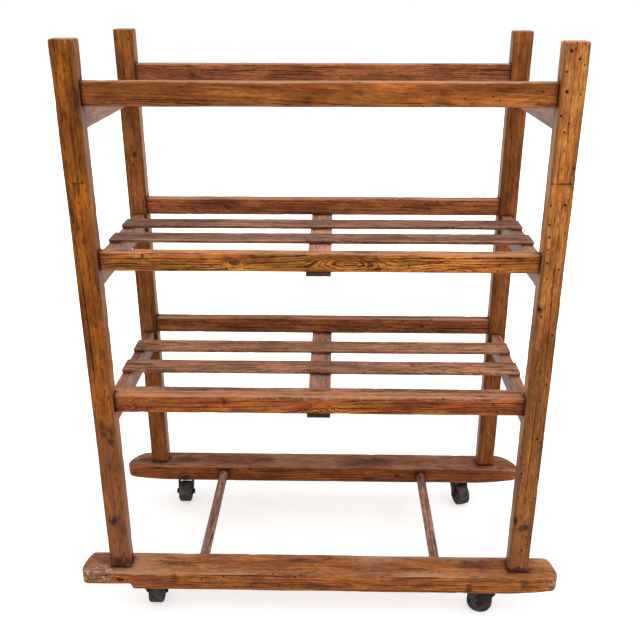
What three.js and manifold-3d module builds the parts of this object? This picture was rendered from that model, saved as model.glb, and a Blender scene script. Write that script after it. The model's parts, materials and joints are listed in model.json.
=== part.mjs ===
// Bakery bread rack: a mortised pine frame with two slatted shelves, on two runners and four swivel casters.
// Millimetres, +Z up. The origin lies on the floor under the middle of the rack,
// +X runs to the right-hand end and the front faces -Y.

import * as THREE from 'three';
import { mergeVertices } from 'three/addons/utils/BufferGeometryUtils.js';
import Module from 'manifold-3d';

const wasm = await Module();
wasm.setup();

// Posts
const POST_SPACING_X = 1089; // centre to centre along the rack
const POST_SPACING_Y = 534; // centre to centre from front to back
const POST_WIDTH = 54; // along X
const POST_DEPTH = 44; // along Y
const POST_HEIGHT = 1376; // above the runners, for the tallest post
const POST_TRIM = { front_left: 0, front_right: 4, rear_left: 4, rear_right: 8 }; // sawn off the tops
const POST_TOP_WEAR = 4; // worn edge round the top end

// Runners
const RUNNER_OVERHANG = 105; // past the post centres
const RUNNER_DEPTH = 87;
const RUNNER_HEIGHT = 57;
const RUNNER_EDGE = 4;
const RUNNER_NOSE_RADIUS = 18; // front corners, seen from above
const RUNNER_END_FLAT = 3; // flat left between the front and back corners of an end
const FRONT_RUNNER_TAIL = 20; // rounded back corners, along X
const REAR_RUNNER_TAIL = 72;
const RUNNER_LIFT = 16; // how far the underside rises towards an end
const RUNNER_LIFT_MARGIN = 8; // flat left between the caster plate and the rise
const RUNNER_LIFT_EASE = 1 / 3; // share of the rise that starts almost flat
const RUNNER_STEP_RUN = 5; // slope of the square step under the front left end
const RUNNER_STEP_RADIUS = 8; // its worn lower corner

// Rails and shelves
const FIRST_SHELF = 476; // seat plane of the lower shelf above the runners
const SHELF_PITCH = 379;
const FRONT_RAIL_HEIGHTS = { lower: 49, upper: 46, top: 54 }; // each rail was cut from the stock at hand
const REAR_RAIL_HEIGHTS = { lower: 50, upper: 49, top: 48 };
const RAIL_THICKNESS = 30;
const END_RAIL_HEIGHT = 55;
const END_RAIL_THICKNESS = 30;
const END_RAIL_SETBACK = 15; // from the outer face of the posts
const SLAT_WIDTH = 69;
const SLAT_THICKNESS = 10;
const SLAT_GAPS = { front: 29, middle: 100, rear: 71.5 }; // in front of each slat
const LOWER_FRONT_SLAT_SHORT = 20; // cut short at its right end
const BEARER_WIDTH = 60;
const BEARER_THICKNESS = 11;
const BEARER_SETBACK = 1; // from the outer faces of the long rails
const BOARD_EDGE = 3;
const SLAT_EDGE = 2;

// Stretchers between the runners
const DOWEL_DIAMETER = 28;
const DOWEL_SPACING = 656;
const DOWEL_SOCKET = 40;

// Joinery
const TENON_THICKNESS = 12;
const TENON_SHOULDER = 6; // above and below a rail tenon
const TENON_COVER = 20; // wood left past the end of a mortise
const TENON_ROOT = 2; // how far a tenon starts inside its own piece, and a mortise outside the wood
const FOOT_TENON_SHOULDER = 10; // round a post's foot tenon
const FIT_GAP = 0.3; // round a tenon or dowel and under a seat
const MORTISE_END_GAP = 1.5;
const CUT_MARGIN = 1; // how far a cut runs past the surface it opens

// Casters
const CASTER_INSET = 78; // from the post centres towards the middle
const CASTER_SHIFTS = { front_left: 6, front_right: 7, rear_left: 3, rear_right: -4 }; // set by eye, along X
const WHEEL_DIAMETER = 70;
const WHEEL_WIDTH = 38;
const TREAD_CROWN = 6; // rounded shoulders of the tread
const TYRE_BORE = 46;
const HUB_RIM_WIDTH = 28;
const HUB_RIM_WALL = 4;
const HUB_WEB = 12;
const HUB_BOSS_DIAMETER = 22;
const AXLE_DIAMETER = 10;
const AXLE_NUT_DIAMETER = 17;
const AXLE_NUT_HEIGHT = 5;
const AXLE_NUT_SIDES = 6;
const TRAIL = 22; // from the swivel axis back to the axle
const FORK_SHEET = 3.2;
const FORK_SIDE_GAP = 2.5; // wheel to fork leg
const FORK_CROWN_LENGTH = 46;
const FORK_CROWN_RADIUS = 9;
const FORK_LEG_TOP = 40;
const FORK_EYE_RADIUS = 11;
const WHEEL_TOP_GAP = 3;
const KINGPIN_DIAMETER = 12;
const KINGPIN_HEAD_DIAMETER = 22;
const KINGPIN_HEAD_HEIGHT = 4;
const RACE_DIAMETER = 48;
const RACE_HEIGHT = 6.6;
const RACE_LIP = 5;
const RACE_FLARE = 2.2; // height of the flared lip
const PLATE_LENGTH = 72;
const PLATE_WIDTH = 60;
const PLATE_THICKNESS = 3;
const PLATE_CORNER = 7;
const PLATE_HOLE_DIAMETER = 7;
const PLATE_HOLE_EDGE = 10; // hole centre to plate edge
const TRAIL_HEADING = { front_left: 90, front_right: 167, rear_left: -90, rear_right: -72 }; // degrees from +X

// Roundness of curves
const CORNER_SEGMENTS = 3;
const EDGE_SEGMENTS = 2;
const LIFT_SEGMENTS = 6;
const SHOULDER_SEGMENTS = 1;
const EYE_SEGMENTS = 4;
const TYRE_FACETS = 24;
const HUB_FACETS = 20;
const RACE_FACETS = 20;
const PIN_FACETS = 16;
const DOWEL_FACETS = 16;

// Levels worked out from the floor up
const wheelRadius = WHEEL_DIAMETER / 2;
const axleZ = wheelRadius * Math.cos(Math.PI / TYRE_FACETS);
const kingpinHeadZ = axleZ + wheelRadius + WHEEL_TOP_GAP;
const crownZ = kingpinHeadZ + KINGPIN_HEAD_HEIGHT + FIT_GAP;
const crownTopZ = crownZ + FORK_SHEET;
const raceZ = crownTopZ + FIT_GAP;
const plateZ = raceZ + RACE_HEIGHT + FIT_GAP;
const plateTopZ = plateZ + PLATE_THICKNESS;
const runnerZ = plateTopZ + FIT_GAP;
const runnerTopZ = runnerZ + RUNNER_HEIGHT;
const postZ = runnerTopZ + FIT_GAP;
const postTopZ = runnerTopZ + POST_HEIGHT;
const seatZ = {
  lower: runnerTopZ + FIRST_SHELF,
  upper: runnerTopZ + FIRST_SHELF + SHELF_PITCH,
  top: runnerTopZ + FIRST_SHELF + 2 * SHELF_PITCH,
};
const railHeight = { front: FRONT_RAIL_HEIGHTS, rear: REAR_RAIL_HEIGHTS };

// Places worked out from the middle of the rack
const postX = POST_SPACING_X / 2;
const postY = POST_SPACING_Y / 2;
const postInnerX = postX - POST_WIDTH / 2;
const postInnerY = postY - POST_DEPTH / 2;
const runnerEndX = postX + RUNNER_OVERHANG;
const casterX = postX - CASTER_INSET;
const endRailOuterX = postX + POST_WIDTH / 2 - END_RAIL_SETBACK;
const endRailMiddleX = endRailOuterX - END_RAIL_THICKNESS / 2;
const longRailMiddleY = postInnerY + RAIL_THICKNESS / 2;
const longRailOuterY = postInnerY + RAIL_THICKNESS;
const runnerInnerY = postY - RUNNER_DEPTH / 2;
const legInnerY = WHEEL_WIDTH / 2 + FORK_SIDE_GAP;
const legOuterY = legInnerY + FORK_SHEET;

const wood = (color) => ({ color, roughness: 0.6, metalness: 0 });
const metal = (color, roughness) => ({ color, roughness, metalness: 0.8 });
const FINISHES = {
  leftPost: wood('#98622f'),
  rightPost: wood('#a86c33'),
  rail: wood('#8c5329'),
  endRail: wood('#8a5a40'),
  slat: wood('#a0704f'),
  bearer: wood('#84584a'),
  runner: wood('#9d6637'),
  dowel: wood('#7c4d33'),
  plate: metal('#2d2522', 0.7),
  race: metal('#1f1c1c', 0.5),
  kingpin: metal('#1f1c1c', 0.5),
  fork: metal('#1f1c1c', 0.5),
  axle: metal('#1f1c1c', 0.6),
  hub: metal('#4a4745', 0.7),
  tyre: { color: '#3d3a38', roughness: 0.8, metalness: 0 },
};

const SIDES = [
  { name: 'left', sign: -1 },
  { name: 'right', sign: 1 },
];
const ROWS = [
  { name: 'front', sign: -1 },
  { name: 'rear', sign: 1 },
];

const cornerName = (row, side) => `${row.name}_${side.name}`;

const rack = new THREE.Group();
rack.name = 'bakery_bread_rack';

// Solids

// Welds a closed geometry and drops the slivers that meet at a pole.
function toSolid(geometry) {
  const bare = geometry.index ? geometry.toNonIndexed() : geometry.clone();
  bare.deleteAttribute('normal');
  bare.deleteAttribute('uv');
  const welded = mergeVertices(bare);
  const corners = welded.index.array;
  const kept = [];
  for (let i = 0; i < corners.length; i += 3) {
    const [a, b, c] = corners.slice(i, i + 3);
    if (a !== b && b !== c && c !== a) kept.push(a, b, c);
  }
  const vertProperties = new Float32Array(welded.attributes.position.array);
  const triVerts = new Uint32Array(kept);
  return new wasm.Manifold(new wasm.Mesh({ numProp: 3, vertProperties, triVerts }));
}

function toGeometry(solid) {
  const { vertProperties, triVerts } = solid.getMesh();
  const indexed = new THREE.BufferGeometry();
  indexed.setAttribute('position', new THREE.BufferAttribute(vertProperties, 3));
  indexed.setIndex(new THREE.BufferAttribute(triVerts, 1));
  const geometry = indexed.toNonIndexed();
  geometry.computeVertexNormals();
  return geometry;
}

// Turns an extrusion along Z so that it runs along the named axis, with its section in the next two axes.
const AXIS_TURN = {
  x: new THREE.Matrix4().set(0, 0, 1, 0, 1, 0, 0, 0, 0, 1, 0, 0, 0, 0, 0, 1),
  y: new THREE.Matrix4().set(0, 1, 0, 0, 0, 0, 1, 0, 1, 0, 0, 0, 0, 0, 0, 1),
  z: new THREE.Matrix4(),
};

function roundedRectangle(u, v, radius) {
  const shape = new THREE.Shape();
  if (radius === 0) {
    shape.moveTo(u[0], v[0]).lineTo(u[1], v[0]).lineTo(u[1], v[1]).lineTo(u[0], v[1]);
    return shape;
  }
  shape.absarc(u[1] - radius, v[0] + radius, radius, -Math.PI / 2, 0);
  shape.absarc(u[1] - radius, v[1] - radius, radius, 0, Math.PI / 2);
  shape.absarc(u[0] + radius, v[1] - radius, radius, Math.PI / 2, Math.PI);
  shape.absarc(u[0] + radius, v[0] + radius, radius, Math.PI, 1.5 * Math.PI);
  return shape;
}

// A shape drawn in (u, v) and extruded over the span along an axis.
function prism(axis, shape, span, curveSegments = 1) {
  const options = { depth: span[1] - span[0], bevelEnabled: false, curveSegments };
  const geometry = new THREE.ExtrudeGeometry(shape, options);
  geometry.translate(0, 0, span[0]);
  return toSolid(geometry.applyMatrix4(AXIS_TURN[axis]));
}

// A straight board: each of x, y and z is a span, and the long edges are softened.
function board(axis, { x, y, z }, edge = 0) {
  const [u, v, along] = { x: [y, z, x], y: [z, x, y], z: [x, y, z] }[axis];
  return prism(axis, roundedRectangle(u, v, edge), along);
}

function roundBar(axis, [u, v], span, diameter, facets) {
  const geometry = new THREE.CylinderGeometry(diameter / 2, diameter / 2, span[1] - span[0], facets);
  geometry.rotateX(Math.PI / 2);
  geometry.translate(u, v, (span[0] + span[1]) / 2);
  return toSolid(geometry.applyMatrix4(AXIS_TURN[axis]));
}

// A profile of [radius, height] points turned about the named axis.
function turned(axis, profile, facets) {
  const points = profile.map(([radius, height]) => new THREE.Vector2(radius, height));
  const geometry = new THREE.LatheGeometry(points, facets);
  geometry.rotateX(Math.PI / 2);
  return toSolid(geometry.applyMatrix4(AXIS_TURN[axis]));
}

const about = (middle, size) => [middle - size / 2, middle + size / 2];
const grown = ([low, high], gap) => [low - gap, high + gap];
// The span between two distances from the middle, on the left or right, or front or rear.
const onSide = (sign, near, far) => (sign > 0 ? [near, far] : [-far, -near]);

function addPiece(parent, name, geometry, finish) {
  const mesh = new THREE.Mesh(geometry, new THREE.MeshStandardMaterial(finish));
  mesh.name = name;
  parent.add(mesh);
  return mesh;
}

// Joinery: each tenon has a mortise drawn from the same spans, opened by a gap.

function longRailTenon(level, side, row, gap = 0) {
  const reach = POST_WIDTH - TENON_COVER + (gap && MORTISE_END_GAP);
  const low = seatZ[level] + FIT_GAP;
  return board('x', {
    x: onSide(side.sign, postInnerX - TENON_ROOT, postInnerX + reach),
    y: grown(about(row.sign * longRailMiddleY, TENON_THICKNESS), gap),
    z: grown([low + TENON_SHOULDER, low + railHeight[row.name][level] - TENON_SHOULDER], gap),
  });
}

function endRailTenon(level, side, row, gap = 0) {
  const reach = POST_DEPTH - TENON_COVER + (gap && MORTISE_END_GAP);
  const z = [seatZ[level] - END_RAIL_HEIGHT + TENON_SHOULDER, seatZ[level] - TENON_SHOULDER];
  return board('y', {
    x: grown(about(side.sign * endRailMiddleX, TENON_THICKNESS), gap),
    y: onSide(row.sign, postInnerY - TENON_ROOT, postInnerY + reach),
    z: grown(z, gap),
  });
}

function footTenon(side, row, gap = 0) {
  const reach = RUNNER_HEIGHT - TENON_COVER + (gap && MORTISE_END_GAP);
  return board('z', {
    x: grown(about(side.sign * postX, POST_WIDTH - 2 * FOOT_TENON_SHOULDER), gap),
    y: grown(about(row.sign * postY, POST_DEPTH - 2 * FOOT_TENON_SHOULDER), gap),
    z: [runnerTopZ - reach, postZ + TENON_ROOT],
  });
}

// Posts: worn round the top end, mortised for three long rails and three end rails, tenoned at the foot.
function postSolid(side, row) {
  const x = about(side.sign * postX, POST_WIDTH);
  const y = about(row.sign * postY, POST_DEPTH);
  const top = postTopZ - POST_TRIM[cornerName(row, side)];
  const worn = [postZ - POST_TOP_WEAR, top]; // only the upper corners fall on the post
  let post = board('z', { x, y, z: [postZ, top] }, BOARD_EDGE);
  post = post.intersect(board('x', { x, y, z: worn }, POST_TOP_WEAR));
  post = post.intersect(board('y', { x, y, z: worn }, POST_TOP_WEAR));
  post = post.add(footTenon(side, row));
  for (const level of Object.keys(seatZ)) {
    post = post.subtract(longRailTenon(level, side, row, FIT_GAP));
    post = post.subtract(endRailTenon(level, side, row, FIT_GAP));
  }
  return post;
}

// Long rails: flush with the inner faces of the posts, standing as a lip above the shelf.
function longRailSolid(level, row) {
  const shoulderX = postInnerX - FIT_GAP;
  const low = seatZ[level] + FIT_GAP;
  let rail = board('x', {
    x: [-shoulderX, shoulderX],
    y: onSide(row.sign, postInnerY, longRailOuterY),
    z: [low, low + railHeight[row.name][level]],
  }, BOARD_EDGE);
  for (const side of SIDES) rail = rail.add(longRailTenon(level, side, row));
  return rail;
}

// End rails: a rail's height lower than the long rails, so that their mortises miss each other in the post.
function endRailSolid(level, side) {
  const shoulderY = postInnerY - FIT_GAP;
  let rail = board('y', {
    x: about(side.sign * endRailMiddleX, END_RAIL_THICKNESS),
    y: [-shoulderY, shoulderY],
    z: [seatZ[level] - END_RAIL_HEIGHT, seatZ[level]],
  }, BOARD_EDGE);
  for (const row of ROWS) rail = rail.add(endRailTenon(level, side, row));
  return rail;
}

function bearerSolid(level) {
  const endY = longRailOuterY - BEARER_SETBACK;
  return board('y', {
    x: about(0, BEARER_WIDTH),
    y: [-endY, endY],
    z: [seatZ[level] - BEARER_THICKNESS, seatZ[level]],
  }, SLAT_EDGE);
}

// Slats are set out from the front rail, each behind its own gap.
function slatMiddles() {
  let edge = -postInnerY;
  return Object.entries(SLAT_GAPS).map(([name, gap]) => {
    const middleY = edge + gap + SLAT_WIDTH / 2;
    edge = middleY + SLAT_WIDTH / 2;
    return { name, middleY };
  });
}

function slatSolid(level, middleY, short) {
  const low = seatZ[level] + FIT_GAP;
  return board('x', {
    x: [-endRailOuterX, endRailOuterX - short],
    y: about(middleY, SLAT_WIDTH),
    z: [low, low + SLAT_THICKNESS],
  }, SLAT_EDGE);
}

// Runners: softened edges, rounded back corners, and an underside that rises towards the ends.
function runnerOutline(tail, middleY) {
  const front = middleY - RUNNER_DEPTH / 2;
  const back = middleY + RUNNER_DEPTH / 2;
  const nose = RUNNER_NOSE_RADIUS;
  const tailDepth = RUNNER_DEPTH - nose - RUNNER_END_FLAT;
  const shape = new THREE.Shape();
  shape.absarc(runnerEndX - nose, front + nose, nose, -Math.PI / 2, 0);
  shape.absellipse(runnerEndX - tail, back - tailDepth, tail, tailDepth, 0, Math.PI / 2);
  shape.absellipse(-runnerEndX + tail, back - tailDepth, tail, tailDepth, Math.PI / 2, Math.PI);
  shape.absarc(-runnerEndX + nose, front + nose, nose, Math.PI, 1.5 * Math.PI);
  return shape;
}

function casterMiddleX(row, side) {
  return side.sign * casterX + CASTER_SHIFTS[cornerName(row, side)];
}

// The wood taken off under a runner's end, drawn in (z, x): a slow rise, or a step with a worn corner.
function runnerLift(row, side, stepped) {
  const startX = Math.abs(casterMiddleX(row, side)) + PLATE_LENGTH / 2 + RUNNER_LIFT_MARGIN;
  const pastX = runnerEndX + RUNNER_LIFT;
  const below = runnerZ - RUNNER_LIFT;
  const top = runnerZ + RUNNER_LIFT;
  const shape = new THREE.Shape();
  shape.moveTo(below, side.sign * startX);
  shape.lineTo(runnerZ, side.sign * startX);
  const easeX = startX + RUNNER_LIFT_EASE * (runnerEndX - startX);
  if (stepped) {
    const wallX = startX + RUNNER_STEP_RADIUS;
    shape.quadraticCurveTo(runnerZ, side.sign * wallX, runnerZ + RUNNER_STEP_RADIUS, side.sign * wallX);
    shape.lineTo(top, side.sign * (wallX + RUNNER_STEP_RUN));
  } else {
    shape.quadraticCurveTo(runnerZ, side.sign * easeX, top, side.sign * pastX);
  }
  shape.lineTo(top, side.sign * pastX);
  shape.lineTo(below, side.sign * pastX);
  return shape;
}

function runnerSolid(row) {
  const middleY = row.sign * postY;
  const tail = row.name === 'front' ? FRONT_RUNNER_TAIL : REAR_RUNNER_TAIL;
  const geometry = new THREE.ExtrudeGeometry(runnerOutline(tail, middleY), {
    depth: RUNNER_HEIGHT - 2 * RUNNER_EDGE,
    curveSegments: CORNER_SEGMENTS,
    bevelSegments: EDGE_SEGMENTS,
    bevelThickness: RUNNER_EDGE,
    bevelSize: RUNNER_EDGE,
    bevelOffset: -RUNNER_EDGE,
  });
  geometry.translate(0, 0, runnerZ + RUNNER_EDGE);
  let runner = toSolid(geometry);
  const across = grown(about(middleY, RUNNER_DEPTH), CUT_MARGIN);
  for (const side of SIDES) {
    const stepped = row.name === 'front' && side.name === 'left';
    runner = runner.subtract(prism('y', runnerLift(row, side, stepped), across, LIFT_SEGMENTS));
    runner = runner.subtract(footTenon(side, row, FIT_GAP));
    runner = runner.subtract(dowelSolid(side, FIT_GAP));
  }
  return runner;
}

// Round stretchers, let into blind sockets half way up the runners.
function dowelSolid(side, gap = 0) {
  const end = runnerInnerY + DOWEL_SOCKET + (gap && MORTISE_END_GAP);
  const middle = [runnerZ + RUNNER_HEIGHT / 2, side.sign * DOWEL_SPACING / 2];
  const diameter = (DOWEL_DIAMETER + 2 * gap) / Math.cos(gap && Math.PI / DOWEL_FACETS);
  return roundBar('y', middle, [-end, end], diameter, DOWEL_FACETS);
}

// Casters, drawn with the swivel axis on Z, the trail along +X and the axle along Y.

function plateGeometry() {
  const shape = roundedRectangle(about(0, PLATE_LENGTH), about(0, PLATE_WIDTH), PLATE_CORNER);
  const holeX = PLATE_LENGTH / 2 - PLATE_HOLE_EDGE;
  const holeY = PLATE_WIDTH / 2 - PLATE_HOLE_EDGE;
  for (const x of [-holeX, holeX]) {
    for (const y of [-holeY, holeY]) {
      shape.holes.push(new THREE.Path().absarc(x, y, PLATE_HOLE_DIAMETER / 2, 0, 2 * Math.PI, true));
    }
  }
  const plate = prism('z', shape, [plateZ, plateTopZ], CORNER_SEGMENTS);
  return toGeometry(plate.subtract(kingpinHole()));
}

function kingpinHole() {
  const diameter = KINGPIN_DIAMETER + 2 * FIT_GAP;
  return roundBar('z', [0, 0], grown([crownZ, plateTopZ], CUT_MARGIN), diameter, PIN_FACETS);
}

// The race: a shallow steel cup under the plate, flared to a lip that covers the bearing.
function raceGeometry() {
  const bore = KINGPIN_DIAMETER / 2 + FIT_GAP;
  const outer = RACE_DIAMETER / 2;
  const top = raceZ + RACE_HEIGHT;
  const profile = [
    [bore, raceZ],
    [outer - RACE_LIP, raceZ],
    [outer, raceZ + RACE_FLARE],
    [outer, top],
    [bore, top],
    [bore, raceZ],
  ];
  return toGeometry(turned('z', profile, RACE_FACETS));
}

function kingpinGeometry() {
  const shank = KINGPIN_DIAMETER / 2;
  const head = KINGPIN_HEAD_DIAMETER / 2;
  const chamfer = KINGPIN_HEAD_HEIGHT / 2;
  const headTop = kingpinHeadZ + KINGPIN_HEAD_HEIGHT;
  const profile = [
    [0, kingpinHeadZ],
    [head - chamfer, kingpinHeadZ],
    [head, kingpinHeadZ + chamfer],
    [head, headTop],
    [shank, headTop],
    [shank, plateTopZ],
    [0, plateTopZ],
  ];
  return toGeometry(turned('z', profile, PIN_FACETS));
}

// A fork leg in (z, x): wide at the crown, drawn back and down to a round eye at the axle.
function forkLegShape() {
  const halfTop = FORK_LEG_TOP / 2;
  const shape = new THREE.Shape();
  shape.moveTo(crownTopZ, halfTop);
  shape.lineTo(crownTopZ, -halfTop);
  shape.lineTo(crownZ - FORK_SHEET, -halfTop);
  shape.absarc(axleZ, TRAIL, FORK_EYE_RADIUS, -2 * Math.PI / 3, -4 * Math.PI / 3, true);
  shape.lineTo(crownZ - FORK_SHEET, halfTop);
  return shape;
}

function forkGeometry() {
  const crownShape = roundedRectangle(about(0, FORK_CROWN_LENGTH), [-legOuterY, legOuterY], FORK_CROWN_RADIUS);
  let fork = prism('z', crownShape, [crownZ, crownTopZ], CORNER_SEGMENTS);
  for (const sign of [-1, 1]) {
    fork = fork.add(prism('y', forkLegShape(), onSide(sign, legInnerY, legOuterY), EYE_SEGMENTS));
  }
  const across = grown([-legOuterY, legOuterY], CUT_MARGIN);
  const eye = roundBar('y', [axleZ, TRAIL], across, AXLE_DIAMETER + 2 * FIT_GAP, PIN_FACETS);
  return toGeometry(fork.subtract(kingpinHole()).subtract(eye));
}

// The axle bolt, with its head and nut outside the fork legs. Drawn on the wheel's centre.
function axleGeometry() {
  const seat = legOuterY + FIT_GAP;
  const end = seat + AXLE_NUT_HEIGHT;
  let axle = roundBar('y', [0, 0], [-end, end], AXLE_DIAMETER, PIN_FACETS);
  for (const sign of [-1, 1]) {
    axle = axle.add(roundBar('y', [0, 0], onSide(sign, seat, end), AXLE_NUT_DIAMETER, AXLE_NUT_SIDES));
  }
  return toGeometry(axle);
}

// The hub: a bored boss, a thin web and a rim that holds the tyre.
function hubGeometry() {
  const bore = AXLE_DIAMETER / 2 + FIT_GAP;
  const boss = HUB_BOSS_DIAMETER / 2;
  const rim = TYRE_BORE / 2 - FIT_GAP;
  const rimInside = rim - HUB_RIM_WALL;
  const bossEnd = legInnerY - FIT_GAP;
  const profile = [
    [bore, -bossEnd],
    [boss, -bossEnd],
    [boss, -HUB_WEB / 2],
    [rimInside, -HUB_WEB / 2],
    [rimInside, -HUB_RIM_WIDTH / 2],
    [rim, -HUB_RIM_WIDTH / 2],
    [rim, HUB_RIM_WIDTH / 2],
    [rimInside, HUB_RIM_WIDTH / 2],
    [rimInside, HUB_WEB / 2],
    [boss, HUB_WEB / 2],
    [boss, bossEnd],
    [bore, bossEnd],
    [bore, -bossEnd],
  ];
  return toGeometry(turned('y', profile, HUB_FACETS));
}

// The tyre: a solid tread with rounded shoulders, with one flat facet standing on the floor.
function tyreGeometry() {
  const bore = TYRE_BORE / 2 / Math.cos(Math.PI / TYRE_FACETS);
  const half = WHEEL_WIDTH / 2;
  const shoulder = half - TREAD_CROWN;
  const bead = HUB_RIM_WIDTH / 2;
  const tread = new THREE.Path();
  tread.moveTo(bore, -bead);
  tread.lineTo((bore + wheelRadius) / 2, -half);
  tread.absellipse(wheelRadius - TREAD_CROWN, -shoulder, TREAD_CROWN, TREAD_CROWN, -Math.PI / 2, 0);
  tread.absellipse(wheelRadius - TREAD_CROWN, shoulder, TREAD_CROWN, TREAD_CROWN, 0, Math.PI / 2);
  tread.lineTo((bore + wheelRadius) / 2, half);
  tread.lineTo(bore, bead);
  tread.lineTo(bore, -bead);
  const profile = tread.getPoints(SHOULDER_SEGMENTS).map((point) => [point.x, point.y]);
  return toGeometry(turned('y', profile, TYRE_FACETS));
}

// The first facet edge of a turned tyre lies along the axis it starts from, so half a facet brings a flat under it.
const FACET_TO_FLOOR = Math.PI / TYRE_FACETS;

function addCaster(row, side, shapes) {
  const corner = cornerName(row, side);
  const add = (parent, piece) => addPiece(parent, `caster_${corner}_${piece}`, shapes[piece], FINISHES[piece]);
  const caster = new THREE.Group();
  caster.position.set(casterMiddleX(row, side), row.sign * postY, 0);
  rack.add(caster);
  for (const piece of ['plate', 'race', 'kingpin']) add(caster, piece);

  const swivel = new THREE.Group();
  swivel.rotation.z = THREE.MathUtils.degToRad(TRAIL_HEADING[corner]);
  caster.add(swivel);
  add(swivel, 'fork');

  const wheel = new THREE.Group();
  wheel.position.set(TRAIL, 0, axleZ);
  swivel.add(wheel);
  for (const piece of ['axle', 'hub', 'tyre']) add(wheel, piece);
  wheel.getObjectByName(`caster_${corner}_tyre`).rotation.y = FACET_TO_FLOOR;
}

// Assembly

for (const row of ROWS) {
  addPiece(rack, `runner_${row.name}`, toGeometry(runnerSolid(row)), FINISHES.runner);
  for (const side of SIDES) {
    const name = `post_${cornerName(row, side)}`;
    addPiece(rack, name, toGeometry(postSolid(side, row)), FINISHES[`${side.name}Post`]);
  }
}
for (const side of SIDES) {
  addPiece(rack, `stretcher_dowel_${side.name}`, toGeometry(dowelSolid(side)), FINISHES.dowel);
}
for (const level of Object.keys(seatZ)) {
  for (const row of ROWS) {
    addPiece(rack, `${level}_rail_${row.name}`, toGeometry(longRailSolid(level, row)), FINISHES.rail);
  }
  for (const side of SIDES) {
    addPiece(rack, `${level}_end_rail_${side.name}`, toGeometry(endRailSolid(level, side)), FINISHES.endRail);
  }
}
for (const level of ['lower', 'upper']) {
  addPiece(rack, `${level}_bearer`, toGeometry(bearerSolid(level)), FINISHES.bearer);
  for (const { name, middleY } of slatMiddles()) {
    const short = level === 'lower' && name === 'front' ? LOWER_FRONT_SLAT_SHORT : 0;
    addPiece(rack, `${level}_slat_${name}`, toGeometry(slatSolid(level, middleY, short)), FINISHES.slat);
  }
}
const casterShapes = {
  plate: plateGeometry(),
  race: raceGeometry(),
  kingpin: kingpinGeometry(),
  fork: forkGeometry(),
  axle: axleGeometry(),
  hub: hubGeometry(),
  tyre: tyreGeometry(),
};
for (const row of ROWS) {
  for (const side of SIDES) addCaster(row, side, casterShapes);
}

export default rack;
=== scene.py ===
import itertools
import json
import math
from dataclasses import dataclass, field

import bpy
import numpy as np
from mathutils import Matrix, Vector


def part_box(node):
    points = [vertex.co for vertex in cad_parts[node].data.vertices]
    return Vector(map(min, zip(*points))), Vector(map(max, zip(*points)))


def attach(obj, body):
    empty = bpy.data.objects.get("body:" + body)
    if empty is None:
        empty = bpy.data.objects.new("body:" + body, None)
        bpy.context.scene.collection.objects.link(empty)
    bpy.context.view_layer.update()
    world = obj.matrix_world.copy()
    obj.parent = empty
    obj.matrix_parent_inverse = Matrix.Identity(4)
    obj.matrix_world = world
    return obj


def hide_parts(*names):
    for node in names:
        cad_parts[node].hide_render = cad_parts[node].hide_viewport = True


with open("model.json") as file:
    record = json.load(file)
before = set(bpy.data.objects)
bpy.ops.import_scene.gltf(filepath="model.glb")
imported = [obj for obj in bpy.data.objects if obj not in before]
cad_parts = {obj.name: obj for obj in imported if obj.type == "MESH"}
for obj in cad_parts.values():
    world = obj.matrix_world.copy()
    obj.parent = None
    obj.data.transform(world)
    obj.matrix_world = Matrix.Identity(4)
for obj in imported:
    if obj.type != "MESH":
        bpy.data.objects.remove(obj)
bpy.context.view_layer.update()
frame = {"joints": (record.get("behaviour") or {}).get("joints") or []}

MM = 0.001
GAP = 0.3 * MM  # clearance at every shoulder
LEVELS = ("lower", "upper", "top")
SHELVES = ("lower", "upper")
ROWS = ("front", "rear")
SIDES = ("left", "right")
SLATS = ("front", "middle", "rear")
CORNERS = [f"{row}_{side}" for row in ROWS for side in SIDES]

# Sampling of the worn boards
RING_STEP = 6 * MM  # along a board
FACE_STEP = 2.2 * MM  # across its faces
ARC_STEPS = 5  # round each arris
END_STEPS = 4  # round each open end
DOWEL_POINTS = 48
LEAST_RING_GAP = 0.15 * MM
LEAST_FACE_GAP = 0.12 * MM
LEAST_FACE_STEPS = 4
HOLE_STEPS = (-2, -1.25, -1, -0.8, -0.45, 0, 0.45, 0.8, 1, 1.25, 2)  # in radii
CRACK_STEP = 0.75  # in widths of the crack
STAIN_STEPS = np.linspace(-1.2, 1.2, 7)  # in half lengths
GROOVE_STEP = 2 * MM  # along and across a worm-eaten patch

# Wear of the boards, with the size of its lumps along a board and through its section
SWAY, SWAY_LUMPS = 0.25 * MM, (160 * MM, 40 * MM, 40 * MM)
RIPPLE, RIPPLE_LUMPS = 0.12 * MM, (22 * MM, 9 * MM, 9 * MM)
CHIP_LUMPS = (26 * MM, 14 * MM, 14 * MM)
CHIP_START, CHIP_POWER = 0.15, 1.5  # the noise where a chip begins, and how its depth grows
RUB_LUMPS = (130 * MM, 60 * MM, 60 * MM)
RUB_SHIFT, RUB_MOST = 0.35, 1.4
RUB_DENT = 0.4  # share of a board's dents that rubbing takes
PLAIN_WEAR, RUBBED_WEAR = 0.55, 0.45  # colour of the wear at the arrises
SEED_STRIDE = 10

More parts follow.
